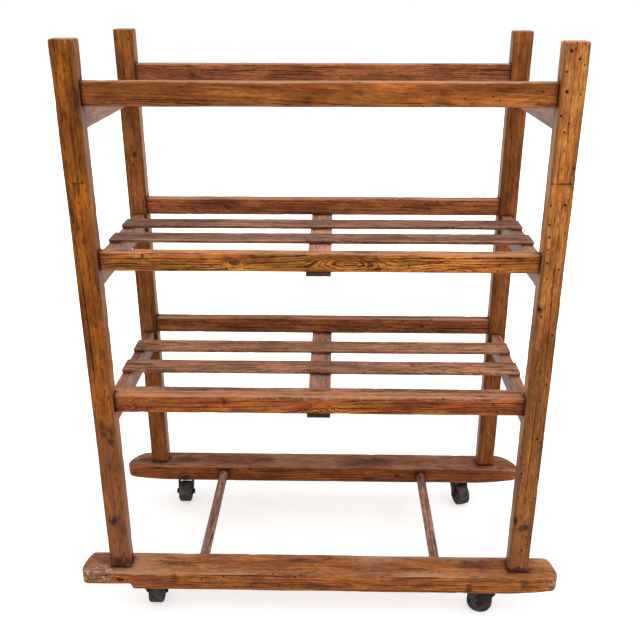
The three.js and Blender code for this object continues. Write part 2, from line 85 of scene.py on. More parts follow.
# Marks on the boards
BORDER_LUMPS, FINE_BORDER_LUMPS = (24 * MM, 8 * MM, 8 * MM), (7 * MM, 3 * MM, 3 * MM)
BORDER_RAGGED, FINE_BORDER_RAGGED = 0.4, 0.25
PATCH_FADE = (0.45, 1.1)  # from full strength to none, in half sizes of the patch
CRACK_BENDS, CRACK_KINKS, CRACK_CLOSINGS = 60 * MM, 19 * MM, 90 * MM
BEND_SHARE, KINK_SHARE = 0.7, 0.3
CRACK_OPENS = (-0.75, 0.1)  # the noise where a crack is shut and where it is open
CRACK_STAIN = 1.3  # width of its dark line beside its own
FINE_BORDER_SEED, CLOSING_SEED, TRACK_SEED = 50, 5, 80  # added to a board's seed
HOLE_WALL, HOLE_MOUTH, HOLE_RING = (0.6, 1.05), (0.75, 1.2), (0.9, 2.2)  # in radii
RING_DARK = 0.5
KNOT_FADE = (2.2, 4.5)  # in knot radii
GROOVE_DEPTH = 1.6 * MM
GROOVE_SIDES = (0.05, 0.27)  # the noise at a track's floor and at its edge
PATCH_PALE, TRACK_PALE, PATCH_DARK = 0.15, 0.85, 0.4

# Reach of wear, of dirt and painted shade in the joints, and what sets the boards apart
ARRIS_FADE, END_FADE, JOINT_FADE = 3.5 * MM, 3 * MM, 6 * MM
TOUCHING = 1.5 * MM  # boards no farther apart than this meet
SEED_SHIFT = np.array([1.7, 0.31, 0.53])  # metres between the lumps of one board and the next
LOG_SHIFT = 0.77  # metres along the log

# The camera that took the photograph
CAMERA_PLACE = (0.0401, -2.0757, 1.6221)
CAMERA_PITCH = 22.334  # degrees below the horizon
CAMERA_YAW = 1.154  # degrees, anticlockwise from above
CAMERA_LENS = 45.43  # mm
SENSOR = 36.0  # mm

# Fixed random lumps, used for every wander, dent and stain in the meshes.
HASH_PRIMES = np.array([374761393, 668265263, 1440662683])
SEED_PRIME = 982451653
MIX_PRIME = 1274126177
HASH_BITS = 0xFFFFFF


def lattice_value(cells, seed):
    """A fixed number from -1 to 1 for each point of a whole-number lattice."""
    mixed = (cells * HASH_PRIMES).sum(-1) + seed * SEED_PRIME
    mixed = (mixed ^ (mixed >> 13)) * MIX_PRIME
    mixed = mixed ^ (mixed >> 16)
    return (mixed & HASH_BITS) / (HASH_BITS >> 1) - 1.0


def lumps(points, size, seed):
    """Smooth noise from -1 to 1 at each point, with lumps of the given size along each axis."""
    scaled = np.asarray(points) / np.asarray(size)
    cells = np.floor(scaled).astype(np.int64)
    part = scaled - cells
    part = part * part * (3 - 2 * part)
    total = np.zeros(scaled.shape[:-1])
    for corner in itertools.product((0, 1), repeat=3):
        weight = np.prod(np.where(corner, part, 1 - part), axis=-1)
        total += weight * lattice_value(cells + np.array(corner), seed)
    return total


def smooth_step(low, high, value):
    part = np.clip((value - low) / (high - low), 0, 1)
    return part * part * (3 - 2 * part)


def circle(steps):
    """Even angles round a circle, and the points of a unit circle there."""
    angles = np.arange(steps) / steps * 2 * math.pi
    return angles, np.stack([np.cos(angles), np.sin(angles)], 1)


# Boards are lofted along their length. A board's own axes are length, width and thickness.
BOARD_AXES = {"x": (0, 1, 2), "y": (1, 2, 0), "z": (2, 0, 1)}
SIDE_NORMALS = {"thin-": (0, -1), "wide+": (1, 0), "thin+": (0, 1), "wide-": (-1, 0)}


class Mark:
    """A mark on one side of a board. Its place is given in metres and its sizes in millimetres."""
    sizes = ()

    def __post_init__(self):
        for name in self.sizes:
            setattr(self, name, getattr(self, name) * MM)


@dataclass
class Hole(Mark):
    """A nail or worm hole."""
    sizes = ("radius", "depth")
    side: str
    along: float
    across: float
    radius: float
    depth: float = 5


@dataclass
class Crack(Mark):
    """A drying crack that runs along the grain from start to end."""
    sizes = ("width", "depth", "wander")
    side: str
    start: float
    end: float
    across: float
    width: float = 0.7
    depth: float = 2.5
    wander: float = 2


@dataclass
class Knot(Mark):
    """A knot, or a swirl of the grain where the core is 0."""
    sizes = ("radius",)
    side: str
    along: float
    across: float
    radius: float
    core: float = 1.0
    stretch: float = 1.6


@dataclass
class Stain(Mark):
    """A dark ragged patch soaked into the wood, with half its length and width. Side "all" is right round."""
    sizes = ("length", "width")
    side: str
    along: float
    across: float = 0.0
    length: float = 30
    width: float = 20
    strength: float = 0.8


@dataclass
class Gnawed(Stain):
    """A patch that worms have grooved, paler than the wood round it. The track is the size of its bends."""
    sizes = ("length", "width", "track")
    track: float = 10


@dataclass
class Board:
    """One worn board: the CAD node it replaces, its box, and how it was sawn, worn and marked."""
    node: str
    axis: str
    low: np.ndarray
    high: np.ndarray
    seed: int
    slot: str
    material: str
    pith: tuple = (0.01, -0.07)  # the log's heart, from the middle of the section
    tilt: tuple = (0.008, 0.012)  # how fast the grain runs out
    edge: float = 3 * MM
    dents: float = 1.6 * MM
    top_wear_and_highlight: float = 0.0  # pale rubbing over the whole upper side, partly a painted highlight
    round_ends: tuple = (0.0, 0.0)  # radius worn on the first and the last end
    marks: list = field(default_factory=list)
    outline: object = None  # limits of the section along the length, if they vary
    is_round: bool = False

    def box(self):
        order = list(BOARD_AXES[self.axis])
        return np.array(self.low)[order], np.array(self.high)[order]


def thinned(values, least):
    """Sorted values with those closer than least to the one before dropped; the first and last stay."""
    ordered = sorted(values)
    kept = [ordered[0]]
    for value in ordered[1:-1]:
        if value - kept[-1] >= least and ordered[-1] - value >= least:
            kept.append(value)
    return np.array(kept + [ordered[-1]])


def side_axes(side):
    """The board's axis across a side, and the one that comes out of it."""
    return (1, 2) if side.startswith("thin") else (2, 1)


def close_steps(mark, along):
    """Extra sample places that a mark needs, along the board or across its side."""
    if isinstance(mark, Hole):
        middle = mark.along if along else mark.across
        return [middle + mark.radius * share for share in HOLE_STEPS]
    if isinstance(mark, Crack) and not along:
        reach = mark.wander + 3 * mark.width
        return np.arange(mark.across - reach, mark.across + reach, mark.width * CRACK_STEP)
    if isinstance(mark, Gnawed):
        middle, reach = (mark.along, mark.length) if along else (mark.across, mark.width)
        return np.arange(middle - reach, middle + reach, GROOVE_STEP)
    if isinstance(mark, Stain) and along:
        return mark.along + mark.length * STAIN_STEPS
    return []


def ring_places(board):
    low, high = board.box()
    places = list(np.arange(low[0], high[0], RING_STEP)) + [high[0]]
    for end, sign, radius in ((low[0], 1, board.round_ends[0]), (high[0], -1, board.round_ends[1])):
        for step in range(1, END_STEPS + 1):
            places.append(end + sign * radius * (1 - math.sin(step / END_STEPS * math.pi / 2)))
    for mark in board.marks:
        places += list(close_steps(mark, True))
    if board.outline is not None:
        places += list(board.outline(None))
    return thinned([place for place in places if low[0] <= place <= high[0]], LEAST_RING_GAP)


def side_places(board, side):
    """Places across one flat side as shares from -1 to 1 of the width between its arrises."""
    low, high = board.box()
    axis = side_axes(side)[0]
    middle = (low[axis] + high[axis]) / 2
    half = (high[axis] - low[axis]) / 2 - board.edge
    places = list(np.linspace(-half, half, max(LEAST_FACE_STEPS, round(2 * half / FACE_STEP))))
    for mark in board.marks:
        if mark.side == side:
            places += [place - middle for place in close_steps(mark, False)]
    return thinned([place for place in places if -half <= place <= half], LEAST_FACE_GAP) / half


def section_points(board):
    """The section's outline, anticlockwise: flat shares, outward normals and the side of each point."""
    if board.is_round:
        normals = circle(DOWEL_POINTS)[1]
        return np.zeros_like(normals), normals, np.array(["round"] * DOWEL_POINTS)
    shares, normals, sides = [], [], []
    for index, (side, normal) in enumerate(SIDE_NORMALS.items()):
        places = side_places(board, side)
        if index in (2, 3):
            places = places[::-1]
        for place in places:
            shares.append((place, normal[1]) if normal[0] == 0 else (normal[0], place))
            normals.append(normal)
            sides.append(side)
        for step in range(1, ARC_STEPS):
            turn = (index - 1 + step / ARC_STEPS) * math.pi / 2
            shares.append((np.sign(round(math.cos(turn), 6)), np.sign(round(math.sin(turn), 6))))
            normals.append((math.cos(turn), math.sin(turn)))
            sides.append("arris")
    return np.array(shares, float), np.array(normals, float), np.array(sides)


def end_insets(board, places):
    """How far each ring is drawn in by the rounding of the ends."""
    low, high = board.box()
    inset = np.zeros_like(places)
    for distance, radius in ((places - low[0], board.round_ends[0]), (high[0] - places, board.round_ends[1])):
        if radius:
            rise = np.clip(1 - distance / radius, 0, 1)
            inset = np.maximum(inset, radius * (1 - np.sqrt(1 - rise ** 2)))
    return inset


def board_grid(board):
    """Points of every ring in the board's own axes, with their normals, sides and closeness to an arris."""
    low, high = board.box()
    places = ring_places(board)
    shares, normals, sides = section_points(board)
    if board.outline is None:
        limits = np.tile([low[1], high[1], low[2], high[2]], (len(places), 1))
    else:
        limits = board.outline(places)
    inset = end_insets(board, places)
    middle = np.stack([limits[:, 0] + limits[:, 1], limits[:, 2] + limits[:, 3]], 1) / 2
    half = np.stack([limits[:, 1] - limits[:, 0], limits[:, 3] - limits[:, 2]], 1) / 2 - inset[:, None]
    radius = np.minimum(board.edge, half.min(1))
    if board.is_round:
        radius = half.min(1)
    flat = (half - radius[:, None])[:, None, :] * shares[None]
    section = middle[:, None, :] + flat + radius[:, None, None] * normals[None]
    points = np.concatenate([np.broadcast_to(places[:, None, None], section.shape[:2] + (1,)), section], 2)
    from_arris = (1 - np.abs(shares).min(1)) * np.where(np.isin(sides, ("thin-", "thin+")), *half[0])
    near = np.zeros(len(sides)) if board.is_round else np.exp(-from_arris / ARRIS_FADE)
    far = np.ones_like(places)
    first = places - low[0] if board.round_ends[0] else far
    last = high[0] - places if board.round_ends[1] else far
    near_end = np.exp(-np.minimum(first, last) / END_FADE)
    return points, normals, sides, np.maximum(near[None, :], near_end[:, None])


def patch_share(board, mark, points, number):
    """How strongly a stain or a gnawed patch covers each point, with a ragged border."""
    low, high = board.box()
    seed = board.seed + number
    ragged = BORDER_RAGGED * lumps(points, BORDER_LUMPS, seed)
    ragged += FINE_BORDER_RAGGED * lumps(points, FINE_BORDER_LUMPS, seed + FINE_BORDER_SEED)
    reach = np.zeros(points.shape)
    reach[..., 0] = (points[..., 0] - mark.along) / mark.length
    if mark.side != "all":
        across, normal = side_axes(mark.side)
        plane = (high if mark.side.endswith("+") else low)[normal]
        reach[..., 1] = (points[..., across] - mark.across) / mark.width
        reach[..., 2] = (points[..., normal] - plane) / mark.width
    return mark.strength * (1 - smooth_step(*PATCH_FADE, np.linalg.norm(reach, axis=-1) + ragged))


def crack_share(board, mark, along, across, number):
    """How open a crack is at each place, and how far the place is from its course in widths of the crack."""
    line = np.stack([along, along * 0, along * 0 + number], -1)
    bends = lumps(line, (CRACK_BENDS, 1, 1), board.seed)
    course = bends * BEND_SHARE + lumps(line, (CRACK_KINKS, 1, 1), board.seed) * KINK_SHARE
    span = (along - mark.start) / (mark.end - mark.start)
    open_share = np.sqrt(np.clip(4 * span * (1 - span), 0, 1))
    closings = lumps(line, (CRACK_CLOSINGS, 1, 1), board.seed + CLOSING_SEED)
    open_share *= smooth_step(*CRACK_OPENS, closings)
    return open_share, (across - mark.across - course * mark.wander) / mark.width


def gnawed_layers(board, mark, points, number):
    """Winding tracks, pale in the groove and dark between the grooves."""
    share = patch_share(board, mark, points, number)
    track = np.abs(lumps(points, mark.track, board.seed + TRACK_SEED))
    groove = 1 - smooth_step(*GROOVE_SIDES, track)
    return {"depth": share * groove * GROOVE_DEPTH, "gnawed": share * (PATCH_PALE + TRACK_PALE * groove),
            "stain": share * (1 - groove) * PATCH_DARK}


def hole_layers(mark, along, across):
    """A pit with a dark mouth and a faint dark ring about it."""
    distance = np.hypot(along - mark.along, across - mark.across) / mark.radius
    mouth = 1 - smooth_step(*HOLE_MOUTH, distance)
    ring = RING_DARK - RING_DARK * smooth_step(*HOLE_RING, distance)
    return {"depth": (1 - smooth_step(*HOLE_WALL, distance)) * mark.depth, "dark": np.maximum(mouth, ring)}


def crack_layers(board, mark, along, across, number):
    open_share, distance = crack_share(board, mark, along, across, number)
    return {"depth": np.exp(-distance ** 2) * open_share * mark.depth,
            "dark": np.exp(-(distance / CRACK_STAIN) ** 2) * open_share}


def lay_knot(layers, mark, own, along, across):
    """Gives each point its place in this knot, unless another knot is stronger there."""
    local = np.stack([(along - mark.along) / mark.stretch, across - mark.across], -1) / mark.radius
    strength = 1 - smooth_step(*KNOT_FADE, np.linalg.norm(local, axis=-1))
    closer = strength > layers["knot"][:, own, 2]
    place = np.concatenate([local, strength[..., None]], -1)
    layers["knot"][:, own] = np.where(closer[..., None], place, layers["knot"][:, own])
    layers["core"][:, own] = np.where(closer, mark.core * strength, layers["core"][:, own])


def mark_layers(board, points, sides):
    """Depth of the marks, their colouring, and the place of each point in the nearest knot."""
    layers = {name: np.zeros(points.shape[:2]) for name in ("depth", "dark", "core", "stain", "gnawed")}
    layers["knot"] = np.zeros(points.shape)
    for number, mark in enumerate(board.marks):
        own = np.full(len(sides), True) if isinstance(mark, Stain) else sides == mark.side
        along = points[:, own, 0]
        across = points[:, own, side_axes(mark.side)[0]]
        made = {}
        if isinstance(mark, Gnawed):
            made = gnawed_layers(board, mark, points, number)
        elif isinstance(mark, Stain):
            made = {"stain": patch_share(board, mark, points, number)}
        elif isinstance(mark, Hole):
            made = hole_layers(mark, along, across)
        elif isinstance(mark, Crack):
            made = crack_layers(board, mark, along, across, number)
        else:
            lay_knot(layers, mark, own, along, across)
        for name, values in made.items():
            layers[name][:, own] = np.maximum(layers[name][:, own], values)
    return layers


def near_neighbours(board, points, boards):
    """1 where another board touches this one, falling off over a few millimetres."""
    nearest = np.full(points.shape[:2], 1.0)
    for other in boards:
        apart = np.maximum(np.array(board.low) - other.high, np.array(other.low) - board.high)
        if other is board or apart.max() > TOUCHING:
            continue
        outside = np.maximum(np.maximum(np.array(other.low) - points, points - np.array(other.high)), 0)
        nearest = np.minimum(nearest, np.linalg.norm(outside, axis=-1))
    return np.exp(-nearest / JOINT_FADE)


def loft_faces(rings, around):
    """Quads between the rings, and one face over each end."""
    first = np.arange(rings - 1)[:, None] * around + np.arange(around)[None]
    after = np.arange(rings - 1)[:, None] * around + (np.arange(around)[None] + 1) % around
    quads = np.stack([first, after, after + around, first + around], -1).reshape(-1, 4)
    start = tuple(range(around - 1, -1, -1))
    last = (rings - 1) * around
    return [tuple(quad) for quad in quads.tolist()] + [start, tuple(range(last, last + around))]


def new_object(name, points, faces, attributes, smooth=True):
    """A mesh object at the origin with its point attributes."""
    mesh = bpy.data.meshes.new(name)
    mesh.from_pydata(np.reshape(points, (-1, 3)).tolist(), [], faces)
    for title, values in attributes.items():
        values = np.asarray(values, np.float32)
        if values.shape[-1] == 3 and values.size == 3 * len(mesh.vertices):
            layer = mesh.attributes.new(title, "FLOAT_VECTOR", "POINT")
            layer.data.foreach_set("vector", values.ravel())
        else:
            layer = mesh.attributes.new(title, "FLOAT", "POINT")
            layer.data.foreach_set("value", values.ravel())
    mesh.polygons.foreach_set("use_smooth", [smooth and len(face) <= 4 for face in faces])
    mesh.update()
    made = bpy.data.objects.new(name, mesh)
    bpy.context.scene.collection.objects.link(made)
    return made


def to_shared_frame(board, own):
    """Points from the board's own axes to the shared frame."""
    placed = np.empty_like(own)
    for axis, target in enumerate(BOARD_AXES[board.axis]):
        placed[..., target] = own[..., axis]
    return placed


def log_places(board, points):
    """Where each point lay in the log: along it, and across from its heart."""
    middle = np.mean(board.box(), axis=0)
    along = points[..., 0] - middle[0]
    across = [points[..., axis] - middle[axis] - board.pith[axis - 1] + board.tilt[axis - 1] * along
              for axis in (1, 2)]
    return np.stack([points[..., 0] + board.seed * LOG_SHIFT, *across], -1)


def worn_board(board, boards):
    """The finished mesh of one board."""
    points, normals, sides, closeness = board_grid(board)
    layers = mark_layers(board, points, sides)
    depth = layers.pop("depth")
    seed = board.seed * SEED_STRIDE
    offset = points + board.seed * SEED_SHIFT
    sway = lumps(offset, SWAY_LUMPS, seed) * SWAY
    ripple = lumps(offset, RIPPLE_LUMPS, seed + 1) * RIPPLE
    chips = np.clip(lumps(offset, CHIP_LUMPS, seed + 2) - CHIP_START, 0, 1) ** CHIP_POWER
    rubbed = np.clip(lumps(offset, RUB_LUMPS, seed + 3) + RUB_SHIFT, 0, RUB_MOST)
    dents = closeness ** 2 * board.dents * (chips + RUB_DENT * rubbed)
    inward = np.maximum(depth - sway * (1 - closeness) - ripple + dents, -SWAY)
    shaped = points.copy()
    shaped[..., 1:] -= inward[..., None] * normals[None]
    placed = to_shared_frame(board, shaped)
    attributes = {
        "log": log_places(board, points),
        "wear": closeness * (PLAIN_WEAR + RUBBED_WEAR * rubbed) + board.top_wear_and_highlight * (sides == "thin+"),
        # dirt and painted shade where boards meet
        "grime_and_shade": near_neighbours(board, placed, boards),
        **layers,
    }
    return new_object(board.node + "_worn", placed, loft_faces(*points.shape[:2]), attributes)


# The boards, taken from the boxes of the CAD nodes. Tenons are left out: the mortises hide them.
def between(name, axis, low, high):
    """A node's box with its limits along one axis replaced."""
    lowest, highest = (np.array(corner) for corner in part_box(name))
    lowest["xyz".index(axis)] = low
    highest["xyz".index(axis)] = high
    return lowest, highest


RUNNER_NOSE = 18 * MM
RUNNER_END_FLAT = 3 * MM
RUNNER_TAILS = {"front": 20 * MM, "rear": 72 * MM}
RUNNER_RISE = 16 * MM
RISE_MARGIN = 8 * MM  # from the caster plate to the start of the rise
STEP_RADIUS = 8 * MM
STEP_RUN = 5 * MM
END_DROOP = {"front": 1.5 * MM, "rear": 5 * MM}  # wear of the top at the ends
DROOP_LENGTH = 70 * MM
RISE_POWER = 1.6
CORNER_STEPS = 12
WALL_STEPS = 4


def stepped_rise(past):
    """The worn square step under one end: a rounded corner, then a steep wall."""
    corner = np.clip(past / STEP_RADIUS, 0, 1)
    wall = np.clip((past - STEP_RADIUS) / STEP_RUN, 0, 1)
    return STEP_RADIUS * (1 - np.sqrt(1 - corner ** 2)) + (RUNNER_RISE - STEP_RADIUS) * wall


def runner_outline(row, low, high):
    """Limits of a runner's section at given places along it: rounded corners in plan and a rising underside.

    Given None instead of places, the function it returns tells where the shape needs rings.
    """
    end = high[0]
    tail = RUNNER_TAILS[row]
    tail_depth = high[1] - low[1] - RUNNER_NOSE - RUNNER_END_FLAT
    plates = {side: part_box(f"caster_{row}_{side}_plate") for side in SIDES}
    starts = {side: RISE_MARGIN + max(abs(corner.x) for corner in plate) for side, plate in plates.items()}

    def extra_places():
        turns = np.sin(np.arange(CORNER_STEPS + 1) / CORNER_STEPS * math.pi / 2)
        ends = [end - RUNNER_NOSE * (1 - turns), end - tail * (1 - turns)]
        wall = STEP_RADIUS + STEP_RUN * np.arange(WALL_STEPS + 1) / WALL_STEPS
        step = starts["left"] + np.concatenate([STEP_RADIUS * turns, wall])
        return [sign * place for places in ends for place in places for sign in (-1, 1)] + list(-step)

    def limits(places):
        if places is None:
            return extra_places()
        reach = np.abs(places)
        nose = np.clip((reach - end + RUNNER_NOSE) / RUNNER_NOSE, 0, 1)
        swing = np.clip((reach - end + tail) / tail, 0, 1)
        front = low[1] + RUNNER_NOSE * (1 - np.sqrt(1 - nose ** 2))
        back = high[1] - tail_depth * (1 - np.sqrt(1 - swing ** 2))
        start = np.where(places < 0, starts["left"], starts["right"])
        rise = RUNNER_RISE * np.clip((reach - start) / (end + RUNNER_RISE - start), 0, 1) ** RISE_POWER
        if row == "front":
            rise = np.where(places < 0, stepped_rise(reach - start), rise)
        droop = END_DROOP[row] * smooth_step(end - DROOP_LENGTH, end, reach) ** 2
        return np.stack([front, back, low[2] + rise, high[2] - droop], 1)

    return limits


def post_boards():
    marks = {
        "front_left": [
            Knot("thin-", 1.081, -0.5421, 7, 0.6), Knot("thin-", 0.5655, -0.5482, 5),
            Knot("thin-", 0.5481, -0.5268, 4), Knot("thin-", 0.2975, -0.5486, 7),
            Knot("thin-", 1.4192, -0.5281, 6, 0.5), Crack("thin-", 0.72, 1.02, -0.556),
            Crack("wide+", 0.3, 0.56, -0.268, 0.5), Crack("thin-", 1.12, 1.37, -0.531, 0.5),
            Stain("thin-", 0.165, -0.544, 26, 30, 0.9), Stain("wide+", 0.16, -0.267, 18, 24),
            Stain("thin-", 1.4, -0.523, 38, 9), Stain("thin-", 1.215, -0.545, 3, 15, 0.7),
            Stain("thin-", 0.28, -0.53, 40, 12, 0.45),
            Stain("thin-", 0.3, -0.5486, 19, 16, 0.85),
            Stain("thin-", 0.59, -0.551, 16, 9, 0.7), Stain("thin-", 0.572, -0.528, 24, 6),
            Stain("thin-", 0.545, -0.534, 12, 8),
        ],
        "front_right": [
            Hole("thin-", 1.5006, 0.5313, 3), Hole("thin-", 1.4847, 0.5499, 2.4),
            Hole("thin-", 1.4584, 0.5253, 2.2), Hole("thin-", 1.4175, 0.5305, 3.2),
            Hole("thin-", 1.3674, 0.5235, 2.4), Hole("thin-", 1.125, 0.5247, 2.2),
            Hole("thin-", 1.096, 0.5275, 2.6), Hole("thin-", 1.066, 0.5262, 1.8),
            Hole("thin-", 1.034, 0.5292, 2.4), Hole("thin-", 0.996, 0.5331, 1.9),
            Hole("thin-", 0.9183, 0.5228, 3.8), Crack("thin-", 0.36, 0.86, 0.541, 0.7),
            Hole("thin-", 1.171, 0.555, 3), Hole("thin-", 1.254, 0.5645, 2.4),
            Stain("thin-", 1.219, 0.548, 2.4, 34, 0.9), Stain("thin-", 0.152, 0.544, 12, 40, 0.85),
            Stain("thin-", 0.9183, 0.524, 12, 8), Knot("thin-", 0.2946, 0.5493, 6),
            Knot("thin-", 0.3166, 0.5234, 5), Knot("wide-", 0.86, -0.262, 6),
            Stain("thin-", 0.2946, 0.5493, 13, 20, 0.85), Stain("thin-", 0.3166, 0.5234, 19, 9, 0.95),
        ],
        "rear_left": [Knot("thin-", 1.18, -0.541, 6), Crack("thin-", 0.4, 0.6, -0.55, 0.5)],
        "rear_right": [Knot("thin-", 0.84, 0.548, 6), Crack("wide-", 1.1, 1.3, 0.262, 0.5)],
    }
    piths = {"front_left": (-0.075, 0.02), "front_right": (0.07, 0.035),
             "rear_left": (0.065, -0.03), "rear_right": (-0.06, 0.03)}
    for seed, corner in enumerate(CORNERS, POST_SEED):
        row, side = corner.split("_")
        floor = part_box(f"runner_{row}")[1].z + GAP
        low, high = between(f"post_{corner}", "z", floor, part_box(f"post_{corner}")[1].z)
        yield Board(f"post_{corner}", "z", low, high, seed, "post_pine", f"post_{corner}",
                    pith=piths[corner], tilt=(0.012, 0.005), edge=3.2 * MM, dents=2.2 * MM,
                    round_ends=(0, 5 * MM), marks=marks[corner])


RAIL_MARKS = {
    "upper_rail_front": [
        Knot("wide-", -0.198, 1.0255, 6, 1.0, 1.7), Hole("wide-", -0.4134, 1.0405, 3),
        Knot("wide-", 0.07, 1.024, 10, 0.0, 3.6), Knot("wide-", 0.3, 1.0, 12, 0.0, 4.0),
        Stain("wide-", -0.222, 1.033, 18, 7, 0.5), Stain("wide-", -0.17, 1.028, 13, 9, 0.45),
        Stain("wide-", -0.05, 1.044, 10, 4), Stain("wide-", 0.135, 1.038, 15, 5),
        Hole("wide-", 0.212, 1.021, 2.2), Hole("wide-", 0.38, 1.024, 1.7),
        Crack("wide-", 0.24, 0.5, 1.019, 0.5), Crack("wide-", -0.36, -0.24, 1.012, 0.5),
    ],
    "lower_rail_front": [
        Knot("wide-", -0.51, 0.64, 12, 0.0, 3.2), Knot("wide-", -0.01, 0.618, 16, 0.0, 1.9),
        Stain("wide-", -0.239, 0.657, 7, 10),
        # Pale gnawed bands along the top arris, partly painted highlights on the chipped edge.
        Gnawed("wide-", -0.04, 0.669, 230, 9, 0.35, 5),
        Gnawed("wide-", 0.34, 0.669, 110, 8, 0.3, 5),
        Crack("wide-", 0.1, 0.4, 0.641, 0.5), Hole("wide-", 0.44, 0.655, 2),
    ],
    "top_rail_front": [
        Crack("wide-", -0.44, -0.2, 1.397, 0.5), Knot("wide-", 0.27, 1.412, 6, 0.5),
        Crack("wide-", 0.05, 0.36, 1.391, 0.5),
    ],
    "top_rail_rear": [Crack("wide-", -0.3, 0.1, 1.41, 0.5), Knot("wide-", -0.36, 1.4, 6, 0.7)],
    "upper_rail_rear": [Knot("wide-", -0.28, 1.026, 7, 0.7), Crack("wide-", 0.05, 0.4, 1.02, 0.5)],
    "lower_rail_rear": [Knot("wide-", 0.31, 0.65, 6, 0.7), Crack("wide-", -0.4, -0.1, 0.64, 0.5)],
}
POST_SEED, RAIL_SEED, DECK_SEED, RUNNER_SEED, DOWEL_SEED = 1, 10, 30, 50, 60
DECK_ROUND = 1.5 * MM  # worn off the open ends of slats and bearers
# Pale rubbing over the top faces of the front rails, partly a painted highlight.
TOP_WEAR_AND_HIGHLIGHT = {"top_rail_front": 0.35, "upper_rail_front": 0.35, "lower_rail_front": 0.55}
GRAIN_RUNOUT = {"top_rail_front": 0.05}  # slope of the grain down to the right


def rail_boards():
    seed = RAIL_SEED
    for level in LEVELS:
        for row in ROWS:
            seed += 1
            name = f"{level}_rail_{row}"
            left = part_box(f"post_{row}_left")[1].x + GAP
            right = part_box(f"post_{row}_right")[0].x - GAP
            low, high = between(name, "x", left, right)
            material = name if row == "front" else "rail_rear"
            slope = GRAIN_RUNOUT.get(name, 0.02 * (-1) ** seed)
            yield Board(name, "x", low, high, seed, "rail_pine", material,
                        pith=(0.012, -0.075 - 0.003 * (seed % 4)), tilt=(0.006, slope),
                        top_wear_and_highlight=TOP_WEAR_AND_HIGHLIGHT.get(name, 0.1), marks=RAIL_MARKS[name])
        for side in SIDES:
            seed += 1
            name = f"{level}_end_rail_{side}"
            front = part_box(f"post_front_{side}")[1].y + GAP
            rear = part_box(f"post_rear_{side}")[0].y - GAP
            low, high = between(name, "y", front, rear)
            yield Board(name, "y", low, high, seed, "rail_pine", "end_rail",
                        pith=(0.06, 0.02), tilt=(0.05, 0.01))


def deck_boards():
    seed = DECK_SEED
    for level in SHELVES:
        seed += 1
        low, high = (np.array(corner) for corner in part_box(f"{level}_bearer"))
        # The bearer's front end, under the front rail, is darkened right round: painted shade.
        yield Board(f"{level}_bearer", "y", low, high, seed, "slat_pine", "bearer",
                    pith=(0.01, -0.05), edge=2 * MM, dents=1 * MM, round_ends=(DECK_ROUND, DECK_ROUND),
                    marks=[Stain("all", low[1], length=42, strength=0.95)])
        for place in SLATS:
            seed += 1
            low, high = (np.array(corner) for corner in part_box(f"{level}_slat_{place}"))
            yield Board(f"{level}_slat_{place}", "x", low, high, seed, "slat_pine", f"{level}_slat",
                        pith=(0.012 * (seed % 3 - 1), -0.045), tilt=(0.014, 0.004), edge=2 * MM,
                        dents=1.4 * MM, round_ends=(DECK_ROUND, DECK_ROUND))


def base_boards():
    marks = {
        "front": [
            Crack("wide-", -0.38, 0.52, 0.1405, 2, 4, 1.2), Knot("wide-", -0.543, 0.124, 8),
            Hole("wide-", -0.58, 0.137, 2.6), Crack("wide-", 0.5, 0.6, 0.118, 0.8),
            Crack("thin+", -0.3, 0.2, -0.272, 0.7), Hole("wide-", 0.31, 0.117, 2),
            Stain("wide-", -0.395, 0.13, 16, 26, 0.6), Stain("wide-", 0.0, 0.108, 45, 14, 0.6),
            Stain("wide-", 0.41, 0.112, 11, 22, 0.75), Stain("thin+", 0.43, -0.262, 55, 28, 0.5),
            Stain("wide-", 0.56, 0.128, 14, 13, 0.65), Stain("wide-", -0.6, 0.106, 50, 12, 0.5),
            Gnawed("wide-", -0.61, 0.134, 62, 24, 0.9), Gnawed("thin+", -0.6, -0.292, 55, 24),
            Gnawed("wide-", 0.63, 0.122, 28, 26, 0.5), Stain("thin+", -0.57, -0.262, 70, 40, 0.4),
        ],
        "rear": [
            Crack("wide-", -0.5, 0.1, 0.127, 0.8), Knot("wide-", 0.25, 0.118, 8),
            Crack("thin+", 0.1, 0.5, 0.258, 0.7), Crack("wide-", -0.28, 0.45, 0.141, 1, 3),
            Stain("thin+", -0.46, 0.262, 48, 32, 0.6), Hole("wide-", -0.24, 0.139, 3.4),
            # The first patch on the next line is black, on the front face just above the rear-left caster.
            Stain("wide-", -0.4635, 0.092, 30, 22, 1.0), Stain("thin+", 0.2, 0.262, 40, 26, 0.5),
        ],
    }
    for seed, row in enumerate(ROWS, RUNNER_SEED):
        low, high = (np.array(corner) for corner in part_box(f"runner_{row}"))
        yield Board(f"runner_{row}", "x", low, high, seed, "runner_pine", f"runner_{row}", pith=(0.02, -0.06),
                    tilt=(0.012, 0.014), edge=4 * MM, dents=2.4 * MM, marks=marks[row],
                    outline=runner_outline(row, low, high))
    for seed, side in enumerate(SIDES, DOWEL_SEED):
        name = f"stretcher_dowel_{side}"
        low, high = between(name, "y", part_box("runner_front")[1].y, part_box("runner_rear")[0].y)
        yield Board(name, "y", low, high, seed, "dowel_wood", "dowel", pith=(0.002, 0.003), dents=0.6 * MM,
                    is_round=True)


# Shader nodes
COLOR, VALUE, VECTOR = "NodeSocketColor", "NodeSocketFloat", "NodeSocketVector"


def node(tree, kind, inputs=None, **settings):
    """Adds a node. Each input is linked if it is given a socket, and set to the value otherwise."""
    made = tree.nodes.new(kind)
    for key, value in settings.items():
        setattr(made, key, value)
    for key, value in (inputs or {}).items():
        if isinstance(value, bpy.types.NodeSocket):
            tree.links.new(value, made.inputs[key])
        else:
            made.inputs[key].default_value = value
    return made


def maths(tree, operation, *values):
    return node(tree, "ShaderNodeMath", dict(enumerate(values)), operation=operation).outputs[0]


def times(tree, first, second):
    return maths(tree, "MULTIPLY", first, second)


